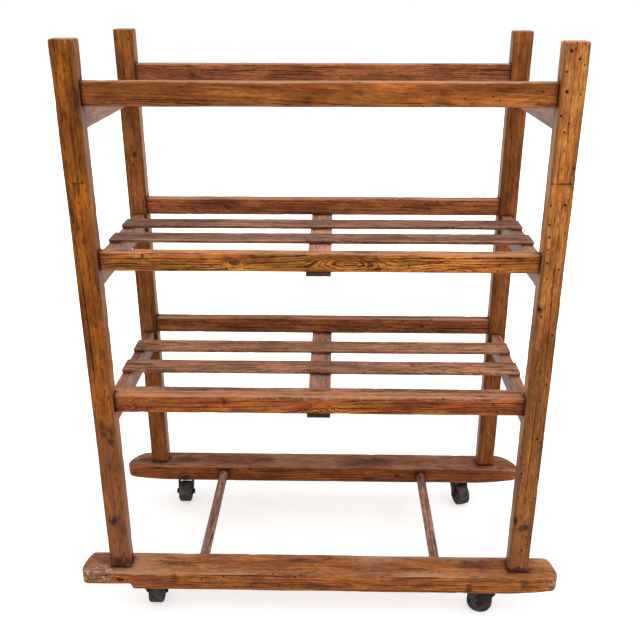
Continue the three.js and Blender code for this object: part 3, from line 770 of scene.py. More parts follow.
def plus(tree, first, second):
    return maths(tree, "ADD", first, second)


def times_plus(tree, value, factor, added):
    return maths(tree, "MULTIPLY_ADD", value, factor, added)


def larger(tree, first, second):
    return maths(tree, "MAXIMUM", first, second)


def vector_maths(tree, operation, *values, output="Vector"):
    return node(tree, "ShaderNodeVectorMath", dict(enumerate(values)), operation=operation).outputs[output]


def length(tree, vector):
    return vector_maths(tree, "LENGTH", vector, output="Value")


def height_of(tree, vector):
    """The Z part of a vector."""
    return node(tree, "ShaderNodeSeparateXYZ", {"Vector": vector}).outputs["Z"]


def upward(tree):
    """How far the surface faces up, from -1 to 1."""
    return height_of(tree, node(tree, "ShaderNodeNewGeometry").outputs["Normal"])


def ramp(tree, value, low, high, to_low=0.0, to_high=1.0):
    """A smooth step of a value from one range to another."""
    inputs = {"Value": value, "From Min": low, "From Max": high, "To Min": to_low, "To Max": to_high}
    return node(tree, "ShaderNodeMapRange", inputs, interpolation_type="SMOOTHSTEP").outputs["Result"]


def mix(tree, share, first, second):
    """The first colour turned into the second by the share."""
    return node(tree, "ShaderNodeMix", {0: share, 6: first, 7: second}, data_type="RGBA").outputs[2]


def scaled(tree, color, factor):
    """A colour made lighter or darker."""
    return node(tree, "ShaderNodeVectorMath", {0: color, "Scale": factor}, operation="SCALE").outputs[0]


def cloud(tree, vector, scale, detail=2.0, rough=0.55):
    """Noise from 0 to 1 at scale lumps per metre."""
    inputs = {"Vector": vector, "Scale": scale, "Detail": detail, "Roughness": rough}
    return node(tree, "ShaderNodeTexNoise", inputs).outputs["Fac"]


def stretched(tree, vector, along, across):
    return vector_maths(tree, "MULTIPLY", vector, (along, across, across))


def streaks(tree, vector, along, across, detail=2.0, rough=0.55):
    """Noise from 0 to 1 with so many lumps per metre along and across the grain."""
    return cloud(tree, stretched(tree, vector, along, across), 1.0, detail, rough)


def new_group(name, colors, vectors, values, results):
    """A shader node group, with its inputs and its results by name."""
    group = bpy.data.node_groups.new(name, "ShaderNodeTree")
    for titles, kind in ((colors, COLOR), (vectors, VECTOR), (values, VALUE)):
        for title in titles:
            group.interface.new_socket(title, in_out="INPUT", socket_type=kind)
    for title in results:
        kind = COLOR if title == "Color" else VALUE
        group.interface.new_socket(title, in_out="OUTPUT", socket_type=kind)
    return group, group.nodes.new("NodeGroupInput").outputs, group.nodes.new("NodeGroupOutput").inputs


def use_group(tree, group, inputs):
    return node(tree, "ShaderNodeGroup", inputs, node_tree=group).outputs


def shade(red, green, blue):
    """A colour as seen on a screen, 0 to 255, turned to scene light."""
    linear = [((part / 255 + 0.055) / 1.055) ** 2.4 for part in (red, green, blue)]
    return (*linear, 1.0)


# The pine's grain. Each noise has its lumps per metre along and across, its detail and its roughness.
RING_SHIFTS = (((5.0, 55.0), 1.2), ((50.0, 420.0, 3.0, 0.6), 0.6))  # noise, and how many rings it shifts
RING_FADE = (6.0, 45.0)
FIBRE = (22.0, 800.0, 3.0, 0.65)
STREAK = (6.0, 150.0, 5.0, 0.65)
FLECK = (60.0, 210.0, 4.0, 0.68)
MOTTLE = (22.0, 70.0, 4.0, 0.62)
BLOTCH = (5.0, 24.0, 3.0, 0.6)
WANDER, FINE_WANDER = (2.4, 13.0), (14.0, 40.0)
FINE_WANDER_SHARE = 0.25
KNOT_LUMPS = 70.0  # per metre
KNOT_RAGGED = 0.9  # in knot radii
KNOT_PULL = 0.7  # least strength of the rings round a knot
EYE_RADIUS = 0.05  # radius in the log that a knot's middle stands for
EYE_STEP, EYE_TIGHTER = 0.0112, -0.007  # rings round a swirl, and how much closer they are round a true knot
BLOTCH_RANGE = (0.62, 1.32)  # lightness
HEART_RINGS = 14.0


def swayed(group, log, along, across, reach):
    """The log's coordinates pushed sideways by slow noise, so that the grain wanders."""
    inputs = {"Vector": stretched(group, log, along, across), "Scale": 1.0, "Detail": 2.0}
    drift = node(group, "ShaderNodeTexNoise", inputs).outputs["Color"]
    sideways = vector_maths(group, "SUBTRACT", drift, (0.5, 0.5, 0.5))
    reach = node(group, "ShaderNodeCombineXYZ", {"Y": reach, "Z": reach}).outputs[0]
    return vector_maths(group, "MULTIPLY_ADD", sideways, reach, log)


def knot_reach(group, log, knot):
    """Distance from the nearest knot's middle in knot radii, with a ragged border."""
    flat = vector_maths(group, "MULTIPLY", knot, (1.0, 1.0, 0.0))
    ragged = times_plus(group, cloud(group, log, KNOT_LUMPS), KNOT_RAGGED, -KNOT_RAGGED / 2)
    return plus(group, length(group, flat), ragged)


def ring_turn(group, into, bent, reach, pull):
    """Number of growth rings from the log's heart, or from a knot's middle where the knot pulls."""
    across = vector_maths(group, "MULTIPLY", bent, (0.0, 1.0, 1.0))
    eye = times_plus(group, reach, times_plus(group, into["Core"], EYE_TIGHTER, EYE_STEP), EYE_RADIUS)
    radius = node(group, "ShaderNodeMix", {0: pull, 2: length(group, across), 3: eye}).outputs[0]
    turn = maths(group, "DIVIDE", radius, into["Spacing"])
    for noise, shift in RING_SHIFTS:
        turn = times_plus(group, streaks(group, bent, *noise), shift, turn)
    return turn


def late_wood(group, bent, turn, pull):
    """The dark part of each ring. Rings differ in strength and fade along the board."""
    season = maths(group, "FRACT", turn)
    late = times(group, ramp(group, season, 0.2, 0.8), ramp(group, season, 0.86, 1.0, 1.0, 0.0))
    ring = {"W": maths(group, "FLOOR", turn)}
    strength = node(group, "ShaderNodeTexWhiteNoise", ring, noise_dimensions="1D").outputs["Value"]
    present = ramp(group, streaks(group, bent, *RING_FADE), 0.32, 0.6, 0.3, 1.0)
    shown = times(group, times_plus(group, strength, 0.95, 0.15), present)
    return times(group, late, larger(group, shown, times(group, pull, KNOT_PULL)))


def knot_heart(group, reach, core):
    """How much of a knot's dark heart shows, with its own fine rings."""
    rings = maths(group, "SINE", times(group, reach, HEART_RINGS))
    heart = times(group, ramp(group, reach, 1.15, 0.5), core)
    return times(group, heart, times_plus(group, rings, 0.12, 0.86))


def pine_grain_group():
    """Growth rings about the log's heart, closed round knots, with fibres, mottling and resin streaks."""
    group, into, out = new_group(
        "Pine grain", ("Early", "Late", "Rosy", "Heart"), ("Log", "Knot"),
        ("Core", "Spacing", "Warp", "Contrast", "Mottle", "Fleck"), ("Color", "Height", "Lines"))
    log = into["Log"]
    bent = swayed(group, log, *WANDER, into["Warp"])
    bent = swayed(group, bent, *FINE_WANDER, times(group, into["Warp"], FINE_WANDER_SHARE))
    reach = knot_reach(group, log, into["Knot"])
    pull = times(group, ramp(group, reach, 3.6, 1.3), height_of(group, into["Knot"]))
    late = late_wood(group, bent, ring_turn(group, into, bent, reach, pull), pull)
    fibre, streak, fleck, mottle = (streaks(group, bent, *noise) for noise in (FIBRE, STREAK, FLECK, MOTTLE))
    share = times(group, late, into["Contrast"])
    share = plus(group, share, ramp(group, streak, 0.48, 0.66, 0.0, 0.5))
    share = plus(group, share, ramp(group, fibre, 0.5, 0.8, 0.0, 0.3))
    share = plus(group, share, times(group, ramp(group, mottle, 0.5, 0.7), into["Mottle"]))
    share = plus(group, share, times(group, ramp(group, fleck, 0.52, 0.7), into["Fleck"]))
    share = maths(group, "MINIMUM", share, 1.0)
    rosy = ramp(group, cloud(group, stretched(group, log, 6.0, 20.0), 1.3), 0.42, 0.66)
    color = mix(group, share, mix(group, rosy, into["Early"], into["Rosy"]), into["Late"])
    pale = times_plus(group, ramp(group, fleck, 0.48, 0.3), into["Fleck"], 1.0)
    blotch = ramp(group, streaks(group, log, *BLOTCH), 0.32, 0.68, *BLOTCH_RANGE)
    color = scaled(group, color, times(group, blotch, pale))
    color = mix(group, knot_heart(group, reach, into["Core"]), color, into["Heart"])
    height = times_plus(group, late, 0.5, times(group, fibre, 0.7))
    group.links.new(color, out["Color"])
    group.links.new(times_plus(group, fleck, -0.6, height), out["Height"])
    group.links.new(share, out["Lines"])
    return group


# Wear, dirt and painted shade
EDGE_LUMPS = (38.0, 150.0, 5.0, 0.68)
EDGE_RAGGED = 1.2
SPOTS = (13.0, 42.0, 5.0, 0.65)
WORM_CELLS = 95.0  # per metre
SOAKED = shade(60, 33, 33)


def edge_wear_group():
    """Finish rubbed off along the arrises, ragged along the grain, most on those that face up, where the pale
    wear is partly a painted highlight.
    """
    group, into, out = new_group("Edge wear", ("Color", "Worn"), ("Place",), ("Wear", "Amount", "Roughness"),
                                 ("Color", "Roughness"))
    coarse = streaks(group, into["Place"], *EDGE_LUMPS)
    edge = plus(group, into["Wear"], times_plus(group, coarse, EDGE_RAGGED, -EDGE_RAGGED / 2))
    # up-facing arrises are paler: wear and painted highlight
    raised_wear_and_highlight = ramp(group, upward(group), -0.2, 0.5, 0.45, 1.0)
    share = times(group, times(group, ramp(group, edge, 0.35, 0.95), into["Amount"]), raised_wear_and_highlight)
    group.links.new(mix(group, share, into["Color"], into["Worn"]), out["Color"])
    group.links.new(times_plus(group, share, 0.15, into["Roughness"]), out["Roughness"])
    return group


def worm_pits(group, place, share):
    """1 in small round holes, in the given share of the cells."""
    long_cells = {"Vector": stretched(group, place, 0.7, 1.0), "Scale": WORM_CELLS}
    cells = node(group, "ShaderNodeTexVoronoi", long_cells)
    chosen = node(group, "ShaderNodeSeparateColor", {"Color": cells.outputs["Color"]})
    few = maths(group, "LESS_THAN", chosen.outputs["Red"], share)
    size = times_plus(group, chosen.outputs["Green"], 0.22, 0.07)
    return times(group, few, maths(group, "LESS_THAN", cells.outputs["Distance"], size))


def grime_and_painted_shade_group():
    """Dark dirt in holes and cracks, dirt and painted shade in the joints, stains, worm holes, and dust with
    painted top shading on upward faces.
    """
    group, into, out = new_group(
        "Grime, dust and painted shade", ("Color", "Dirt and shade", "Dust and top shading colour"), ("Place",),
        ("Dark", "Joint dirt and shade", "Soaked", "Stain", "Worm", "Dust and top shading share", "Roughness"), ("Color", "Roughness", "Pits"))
    spots = streaks(group, into["Place"], *SPOTS)
    stain = times(group, ramp(group, spots, 0.52, 0.8), into["Stain"])
    pits = worm_pits(group, into["Place"], into["Worm"])
    # dirt and painted shade in the joints, with stains, pits and dark holes
    joint = times(group, into["Joint dirt and shade"], ramp(group, spots, 0.1, 0.7, 0.55, 1.0))
    dirt_and_shade = larger(group, larger(group, stain, times(group, pits, 0.85)), joint)
    dirt_and_shade = larger(group, dirt_and_shade, times(group, into["Dark"], 0.95))
    color = mix(group, dirt_and_shade, into["Color"], into["Dirt and shade"])
    # upward faces take dust with painted top shading, lighter or darker than the sides
    dust_and_top_shading = times(group, ramp(group, upward(group), 0.4, 0.95), into["Dust and top shading share"])
    dust_and_top_shading = times(group, dust_and_top_shading, ramp(group, spots, 0.25, 0.7, 1.0, 0.35))
    dust_and_top_shading = times(group, dust_and_top_shading, maths(group, "SUBTRACT", 1.0, dirt_and_shade))
    color = mix(group, dust_and_top_shading, color, into["Dust and top shading colour"])
    soaked = times(group, into["Soaked"], ramp(group, spots, 0.2, 0.6, 0.65, 1.0))
    rough = times_plus(group, dust_and_top_shading, 0.2, times_plus(group, dirt_and_shade, 0.2, into["Roughness"]))
    group.links.new(mix(group, soaked, color, SOAKED), out["Color"])
    group.links.new(rough, out["Roughness"])
    group.links.new(pits, out["Pits"])
    return group


PINE_GRAIN = pine_grain_group()
EDGE_WEAR = edge_wear_group()
GRIME_AND_PAINTED_SHADE = grime_and_painted_shade_group()
# pale colour of worn arrises, partly a painted highlight where they face up
WORN_PINE = shade(214, 160, 122)
GNAWED_PINE = shade(238, 198, 172)
KNOT_HEART = shade(58, 26, 14)
# colour of dirt and of painted shade in the joints and along arrises
DIRT_AND_SHADE = shade(40, 20, 13)
FOOT_SCUFF = shade(150, 100, 76)
FOOT_HEIGHT, SCUFF_HEIGHT, HEAD_HEIGHT = 0.2, 0.85, 1.45
PINE_GLOSS = 0.12
PINE_BUMP = {"Strength": 0.3, "Distance": 0.6 * MM}
PIT_DEPTH = -2.0  # beside the height of the grain


def attribute(tree, name, output="Fac"):
    return node(tree, "ShaderNodeAttribute", attribute_name=name).outputs[output]


def new_material(name):
    """A material with an empty tree, its tree and its surface socket."""
    material = bpy.data.materials.new(name)
    material.use_nodes = True
    tree = material.node_tree
    tree.nodes.clear()
    output = tree.nodes.new("ShaderNodeOutputMaterial")
    return material, tree, output.inputs["Surface"]


def board_grain(tree, log, look):
    """The grain of one kind of board."""
    inputs = {"Log": log, "Knot": attribute(tree, "knot", "Vector"), "Core": attribute(tree, "core"),
              "Heart": KNOT_HEART}
    inputs.update({title: shade(*look[title.lower()]) for title in ("Early", "Late", "Rosy")})
    for title in ("Spacing", "Warp", "Contrast", "Mottle", "Fleck"):
        inputs[title] = look[title.lower()]
    return use_group(tree, PINE_GRAIN, inputs)


def by_height(tree, grain, look):
    """The grain's colour with the lightness of foot and head, scuffed between its lines near the floor."""
    height = height_of(tree, node(tree, "ShaderNodeTexCoord").outputs["Object"])
    lightness = ramp(tree, height, FOOT_HEIGHT, HEAD_HEIGHT, look["foot"], look["head"])
    low_down = ramp(tree, height, SCUFF_HEIGHT, FOOT_HEIGHT, 0.0, look["scuffed"])
    scuff = times(tree, low_down, times_plus(tree, grain["Lines"], -0.8, 1.0))
    return mix(tree, scuff, scaled(tree, grain["Color"], lightness), FOOT_SCUFF)


def joint_dirt_and_shade(tree, painted_edge_shade):
    """Dirt and painted shade where boards meet, and painted shade along the arrises of faces that don't look
    up.
    """
    sideways = ramp(tree, upward(tree), 0.4, 0.95, painted_edge_shade, 0.0)
    return larger(tree, attribute(tree, "grime_and_shade"), times(tree, attribute(tree, "wear"), sideways))


def pine(name, look):
    """Old oiled pine: rings and fibres, rubbed arrises, dirt and painted shade in the joints."""
    material, tree, surface = new_material(name)
    log = attribute(tree, "log", "Vector")
    grain = board_grain(tree, log, look)
    edges = use_group(tree, EDGE_WEAR, {
        "Color": by_height(tree, grain, look), "Worn": WORN_PINE, "Place": log,
        "Wear": attribute(tree, "wear"), "Amount": look["wear"],
        "Roughness": times_plus(tree, grain["Lines"], -0.08, look["roughness"]),
    })
    color = mix(tree, attribute(tree, "gnawed"), edges["Color"], GNAWED_PINE)
    grime_and_shade = use_group(tree, GRIME_AND_PAINTED_SHADE, {
        "Color": color, "Dirt and shade": DIRT_AND_SHADE, "Dust and top shading colour": shade(*look["dust_and_top_shading"]), "Place": log,
        "Dark": attribute(tree, "dark"), "Joint dirt and shade": joint_dirt_and_shade(tree, look["painted_edge_shade"]),
        "Soaked": attribute(tree, "stain"), "Stain": look["stain"], "Worm": look["worm"],
        "Dust and top shading share": look["dust_and_top_shading_share"], "Roughness": edges["Roughness"],
    })
    relief = times_plus(tree, grime_and_shade["Pits"], PIT_DEPTH, grain["Height"])
    bumped = node(tree, "ShaderNodeBump", {**PINE_BUMP, "Height": relief})
    principled = node(tree, "ShaderNodeBsdfPrincipled", {
        "Base Color": grime_and_shade["Color"], "Roughness": grime_and_shade["Roughness"],
        "Normal": bumped.outputs["Normal"], "Specular IOR Level": PINE_GLOSS,
    })
    tree.links.new(principled.outputs["BSDF"], surface)
    return material


# Looks of the boards: screen colours, ring spacing and warp in metres, shares, lightness at foot and head.
# Pale post tops: the end grain lightened as painted top light.
END_GRAIN_AND_TOP_LIGHT = (196, 146, 114)
PLAIN_PINE = dict(
    dust_and_top_shading=(158, 112, 88), spacing=0.005, warp=0.014, contrast=0.9, mottle=0.3, fleck=0.45, wear=0.8,
    painted_edge_shade=0.0, stain=0.45, worm=0.05, dust_and_top_shading_share=0.3, roughness=0.46, foot=1.0, head=1.0, scuffed=0.0)
# Posts get painted shade along the arrises of their side faces.
POST = dict(contrast=0.45, wear=0.4, painted_edge_shade=0.6, dust_and_top_shading=END_GRAIN_AND_TOP_LIGHT, dust_and_top_shading_share=0.8)
SLAT = dict(
    spacing=0.007, contrast=0.75, fleck=0.7, mottle=0.6, stain=0.4, dust_and_top_shading_share=0.1, warp=0.02, roughness=0.62)
RUNNER = dict(spacing=0.0058, contrast=0.7, warp=0.02, stain=0.5)
PINES = {
    "post_front_left": dict(
        POST, early=(187, 109, 36), late=(80, 35, 9), rosy=(164, 89, 31), contrast=0.4, mottle=0.45,
        fleck=0.65, wear=0.5, painted_edge_shade=0.5, worm=0.14, foot=1.15, scuffed=0.65),
    "post_front_right": dict(
        POST, early=(201, 133, 67), late=(107, 52, 19), rosy=(186, 115, 57), mottle=0.35, fleck=0.65,
        worm=0.4, foot=0.78, head=1.15, scuffed=0.3),
    "post_rear_left": dict(POST, early=(175, 108, 50), late=(78, 36, 12), rosy=(156, 91, 46)),
    "post_rear_right": dict(POST, early=(178, 106, 49), late=(77, 37, 14), rosy=(157, 93, 45)),
    "top_rail_front": dict(
        early=(206, 125, 58), late=(84, 36, 13), rosy=(184, 102, 50), spacing=0.0038, warp=0.011,
        contrast=0.85, mottle=0.25, fleck=0.4, wear=0.9),
    "upper_rail_front": dict(
        early=(242, 158, 70), late=(81, 29, 10), rosy=(210, 119, 56), spacing=0.0062, warp=0.026,
        contrast=1.0, mottle=0.55, fleck=0.3, wear=0.9),
    "lower_rail_front": dict(
        early=(214, 126, 61), late=(75, 27, 10), rosy=(183, 95, 53), spacing=0.0054, warp=0.022,
        contrast=1.0, mottle=0.35, fleck=0.25, wear=0.9),
    "rail_rear": dict(
        early=(185, 113, 66), late=(78, 35, 16), rosy=(163, 96, 64), spacing=0.0056, warp=0.02, contrast=0.8,
        fleck=0.5),
    # Painted shade: the end rails are darkened for the shade on their inner faces.
    "end_rail": dict(early=(176, 124, 97), late=(98, 60, 46), rosy=(156, 103, 84), contrast=0.5),
    # Painted light: the upper slats are darker and the lower ones lighter, offsetting the stronger light on
    # the upper shelf.
    "upper_slat": dict(SLAT, early=(156, 114, 92), late=(79, 46, 36), rosy=(142, 96, 81)),
    "lower_slat": dict(SLAT, early=(205, 146, 108), late=(104, 62, 42), rosy=(184, 127, 95)),
    "bearer": dict(
        early=(210, 156, 130), late=(125, 80, 64), rosy=(193, 137, 117), spacing=0.007, contrast=0.6,
        dust_and_top_shading_share=0.15),
    # The runners' tops are darkened by their dust colour: painted shade.
    "runner_front": dict(
        RUNNER, early=(203, 125, 59), late=(91, 41, 15), rosy=(182, 104, 59), worm=0.12, dust_and_top_shading=(122, 72, 46),
        dust_and_top_shading_share=0.5, wear=1.0),
    "runner_rear": dict(
        RUNNER, early=(178, 103, 50), late=(85, 40, 14), rosy=(157, 89, 52), dust_and_top_shading=(84, 48, 36), dust_and_top_shading_share=0.9),
    "dowel": dict(
        early=(182, 136, 110), late=(82, 48, 37), rosy=(153, 115, 100), spacing=0.004, mottle=0.8, fleck=0.6,
        stain=0.6),
}

# Looks of the hardware: screen colours, the light of its scuffs, and lumps per metre.
HARDWARE = {
    "caster_steel": dict(
        base=(32, 28, 27), worn=(50, 44, 42), scuff=(0.16, 0.14, 0.12), metal=0.6, roughness=0.65),
    "caster_hub": dict(
        base=(102, 81, 85), worn=(138, 111, 115), scuff=(0.3, 0.27, 0.24), metal=0.7, roughness=0.55),
    "caster_tyre": dict(
        base=(62, 54, 54), worn=(102, 92, 87), scuff=(0.24, 0.21, 0.18), scuffed=0.4, metal=0.0,
        roughness=0.75, scale=50.0),
    "nail": dict(
        base=(60, 44, 36), worn=(88, 62, 46), scuff=(0.25, 0.18, 0.13), metal=0.6, roughness=0.6,
        scale=200.0, gloss=0.5),
}
HARDWARE_BUMP = {"Strength": 0.25, "Distance": 0.4 * MM}
ROUGHNESS_SPREAD = 0.3
FINER = 9  # how much finer the scuffs are than the dirt


def hardware(name, base, worn, scuff, metal, roughness, scuffed=0.5, scale=60.0, gloss=0.2):
    """Painted steel, grey casting or dusty rubber, with dirt and scuffs."""
    material, tree, surface = new_material(name)
    place = node(tree, "ShaderNodeTexCoord").outputs["Object"]
    broad = cloud(tree, place, scale, 4.0, 0.6)
    fine = cloud(tree, place, scale * FINER, 3.0, 0.6)
    color = mix(tree, ramp(tree, broad, 0.35, 0.7), shade(*base), shade(*worn))
    scuffs = ramp(tree, fine, 0.58, 0.72, 0.0, scuffed)
    bumped = node(tree, "ShaderNodeBump", {**HARDWARE_BUMP, "Height": fine})
    principled = node(tree, "ShaderNodeBsdfPrincipled", {
        "Base Color": mix(tree, scuffs, color, (*scuff, 1.0)),
        "Roughness": times_plus(tree, broad, ROUGHNESS_SPREAD, roughness - ROUGHNESS_SPREAD / 2),
        "Metallic": times(tree, scuffs, metal) if metal else 0.0,
        "Normal": bumped.outputs["Normal"], "Specular IOR Level": gloss,
    })
    tree.links.new(principled.outputs["BSDF"], surface)
    return material


MATERIALS = {name: pine(name.replace("_", " "), {**PLAIN_PINE, **look}) for name, look in PINES.items()}
MATERIALS.update({name: hardware(name.replace("_", " "), **look) for name, look in HARDWARE.items()})

boards = [*post_boards(), *rail_boards(), *deck_boards(), *base_boards()]
for board in boards:
    made = worn_board(board, boards)
    made.data.materials.append(MATERIALS[board.material])
    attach(made, "frame")
    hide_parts(board.node)


# Casters, drawn about the swivel axis with the trail along X and the axle along Y, then turned into place.
CASTER_BODY = {"plate": "frame", "race": "frame", "kingpin": "frame", "fork": "swivel", "axle": "swivel",
               "hub": "wheel", "tyre": "wheel"}
CASTER_SLOT = {"hub": "caster_hub", "tyre": "caster_tyre"}
TURNED_STEPS = 64
FILLET_STEPS = 4
MOST_FILLET = 0.49  # of the side it rounds
EDGE_STEPS = 3
THINNEST = 0.05 * MM
TRAIL = 22 * MM
SHEET = 3.2 * MM
BEND = 6 * MM
LEG_INSIDE = 21.5 * MM
LEG_TOP_HALF = 20 * MM
CROWN_HALF = 23 * MM
EYE = 11 * MM
SHEET_EDGE = 1.1 * MM  # rounding of the sheet's edges
SHEET_POINTS = 16
EYE_STEPS, LEG_STEPS, BEND_STEPS = 8, 8, 6
LEAVES_EYE = 0.866  # half the width of the eye where the leg's straight edge leaves it, in radii
PIN_BORE = 6.3 * MM
PIN_STEPS = 32
AXLE_STEPS = 36


def filleted(corners):
    """A closed outline of (x, y, fillet) corners with each corner rounded."""
    outline = []
    for before, corner, after in zip(corners[-1:] + corners[:-1], corners, corners[1:] + corners[:1]):
        middle = np.array(corner[:2])
        arms = [np.array(other[:2]) - middle for other in (before, after)]
        reach = [min(corner[2] / np.linalg.norm(arm), MOST_FILLET) for arm in arms]
        start, end = middle + arms[0] * reach[0], middle + arms[1] * reach[1]
        for step in range(FILLET_STEPS + 1):
            part = step / FILLET_STEPS
            outline.append((1 - part) ** 2 * start + 2 * part * (1 - part) * middle + part ** 2 * end)
    return np.array(outline)


def ring_faces(rings, around):
    """Quads of a closed ring of rings."""
    faces = []
    for ring, step in itertools.product(range(rings), range(around)):
        after, beside = (ring + 1) % rings, (step + 1) % around
        faces.append((ring * around + step, ring * around + beside,
                      after * around + beside, after * around + step))
    return faces


def turned(corners, steps=TURNED_STEPS):
    """A ring turned about Z from a closed anticlockwise outline of (radius, height, fillet) corners."""
    outline = filleted(corners)
    angles, unit = circle(steps)
    heights = outline[:, 1:] + angles * 0
    points = np.stack([outline[:, :1] * unit[:, 0], outline[:, :1] * unit[:, 1], heights], -1)
    return points, ring_faces(len(outline), steps)


def onto_axle(points):
    """From about Z to about Y."""
    return points[..., [1, 2, 0]]


def prism_rings(outline, layers):
    """Stacks an anticlockwise outline at each (height, inset) layer."""
    ahead = np.roll(outline, -1, 0) - np.roll(outline, 1, 0)
    inward = np.stack([-ahead[:, 1], ahead[:, 0]], 1) / np.linalg.norm(ahead, axis=1)[:, None]
    rings = [np.column_stack([outline + inward * inset, np.full(len(outline), height)])
             for height, inset in layers]
    return np.array(rings), loft_faces(len(layers), len(outline))


def softened(low, high, radius):
    """Layers of a plate whose top and bottom edges are rounded."""
    turns = np.arange(EDGE_STEPS + 1) / EDGE_STEPS * math.pi / 2
    rise = [(low + radius * (1 - math.cos(turn)), radius * (1 - math.sin(turn))) for turn in turns]
    return rise + [(low + high - height, inset) for height, inset in reversed(rise)]


def plate_mesh(low, high):
    half_x, half_y, fillet, edge = 36 * MM, 30 * MM, 9 * MM, 0.8 * MM
    corners = [(-half_x, -half_y), (half_x, -half_y), (half_x, half_y), (-half_x, half_y)]
    outline = filleted([(*corner, fillet) for corner in corners])
    return prism_rings(outline, softened(low, high, edge))


def race_mesh(low, high):
    outer = 24 * MM
    return turned([(PIN_BORE, low, 0), (outer - 5 * MM, low, 1 * MM), (outer, low + 2.2 * MM, 1.2 * MM),
                   (outer, high, 1 * MM), (PIN_BORE, high, 0)])


def kingpin_mesh(low, high):
    head, shank, hollow = 11 * MM, 6 * MM, 0.4 * MM
    return turned([(hollow, low, 0), (head - 2 * MM, low, 2 * MM), (head, low + 4 * MM, 0.6 * MM),
                   (shank, low + 4 * MM, 0.3 * MM), (shank, high, 0.4 * MM), (hollow, high, 0)], PIN_STEPS)


def mirrored(half):
    """A whole outline from the corners of its upper half, which start at the bore."""
    return [(radius, -height, fillet) for radius, height, fillet in half] + half[::-1]


def tyre_mesh(radius):
    bore, side, bead, shoulder = 23 * MM, 19 * MM, 14 * MM, 5 * MM
    groove, groove_depth, fine = 1.2 * MM, 0.7 * MM, 0.3 * MM
    half = [(bore, bead, 0.6 * MM), (bore + 5 * MM, side, 1.5 * MM), (radius - 2 * MM, side, shoulder),
            (radius, side - shoulder, shoulder), (radius, groove, fine),
            (radius - groove_depth, groove / 2, fine)]
    points, faces = turned(mirrored(half))
    return onto_axle(points), faces


def hub_mesh():
    bore, boss, rim, inside = 5.3 * MM, 11 * MM, 22.7 * MM, 18.5 * MM
    face, web, edge = 21.2 * MM, 6 * MM, 14 * MM
    half = [(bore, face, 0.5 * MM), (boss, face, 1 * MM), (boss + 1 * MM, web, 2 * MM),
            (inside - 1 * MM, web, 2 * MM), (inside, edge, 1 * MM), (rim, edge, 1 * MM)]
    points, faces = turned(mirrored(half))
    return onto_axle(points), faces


def axle_mesh():
    """A plain shank with a six-sided nut at each end."""
    shank, seat, end, nut = 5 * MM, 25 * MM, 30 * MM, 8.5 * MM
    angles, unit = circle(AXLE_STEPS)
    flats = math.cos(math.pi / 6) / np.cos((angles + math.pi / 6) % (math.pi / 3) - math.pi / 6)
    six = unit * (flats * nut)[:, None]
    layers = [(unit * (shank - 1 * MM), -end - 0.6 * MM), (unit * shank, -end),
              (unit * (nut - 1.6 * MM), -end), (six * 0.98, -end + 0.8 * MM), (six, -end + 1.4 * MM),
              (six, -seat), (unit * shank, -seat)]
    layers += [(outline, -height) for outline, height in reversed(layers)]
    rings = np.array([np.column_stack([outline, np.full(AXLE_STEPS, height)]) for outline, height in layers])
    return onto_axle(rings), loft_faces(len(layers), AXLE_STEPS)


def fork_path(axle_z, top):
    """Middle of the bent sheet from one leg's foot over the crown to the other's, as (y, z)."""
    leg, crown = LEG_INSIDE + SHEET / 2, top - SHEET / 2
    eye = axle_z - EYE * np.cos(np.arange(EYE_STEPS + 1) / EYE_STEPS * math.pi / 2)
    straight = np.linspace(axle_z, crown - BEND, LEG_STEPS + 1)[1:]
    rise = [(-leg, height) for height in np.concatenate([eye, straight])]
    bend = [(-leg + BEND * (1 - math.cos(turn)), crown - BEND + BEND * math.sin(turn))
            for turn in np.arange(1, BEND_STEPS + 1) / BEND_STEPS * math.pi / 2]
    half = rise + bend
    return np.array(half + [(0.0, crown)] + [(-y, z) for y, z in reversed(half)])


def fork_width(path, axle_z, top):
    """Limits of the sheet along X at each point of its path: a round eye, a leg drawn back, a wider crown."""
    shoulder, tangent = top - 2 * SHEET, axle_z - EYE / 2
    lift = np.clip((path[:, 1] - tangent) / (shoulder - tangent), 0, 1)
    low = (TRAIL - EYE * LEAVES_EYE) * (1 - lift) - LEG_TOP_HALF * lift
    high = (TRAIL + EYE * LEAVES_EYE) * (1 - lift) + LEG_TOP_HALF * lift
    round_half = np.sqrt(np.clip(EYE ** 2 - (path[:, 1] - axle_z) ** 2, (0.5 * MM) ** 2, None))
    eye = path[:, 1] < tangent
    low, high = np.where(eye, TRAIL - round_half, low), np.where(eye, TRAIL + round_half, high)
    spread = (CROWN_HALF - LEG_TOP_HALF) * smooth_step(LEG_INSIDE, LEG_INSIDE * 0.5, np.abs(path[:, 0]))
    return low - spread, high + spread


def fork_mesh(axle_z, top):
    path = fork_path(axle_z, top)
    low, high = fork_width(path, axle_z, top)
    ahead = np.gradient(path, axis=0)
    ahead /= np.linalg.norm(ahead, axis=1)[:, None]
    outward = np.stack([-ahead[:, 1], ahead[:, 0]], 1)
    turn = (np.arange(SHEET_POINTS) + 0.5) / SHEET_POINTS * 2 * math.pi
    round_edge = np.stack([np.cos(turn), np.sin(turn)], 1)
    corner, soft = np.sign(round_edge), round_edge * SHEET_EDGE
    flat_x = np.clip((high - low) / 2 - SHEET_EDGE, THINNEST, None)
    across = corner[None, :, 1] * flat_x[:, None] + soft[None, :, 1] + ((low + high) / 2)[:, None]
    through = corner[None, :, 0] * (SHEET / 2 - SHEET_EDGE) + soft[None, :, 0]
    spine = path[:, None, :] + outward[:, None, :] * through[..., None]
    points = np.concatenate([across[..., None], spine], -1)
    return points, loft_faces(*points.shape[:2])


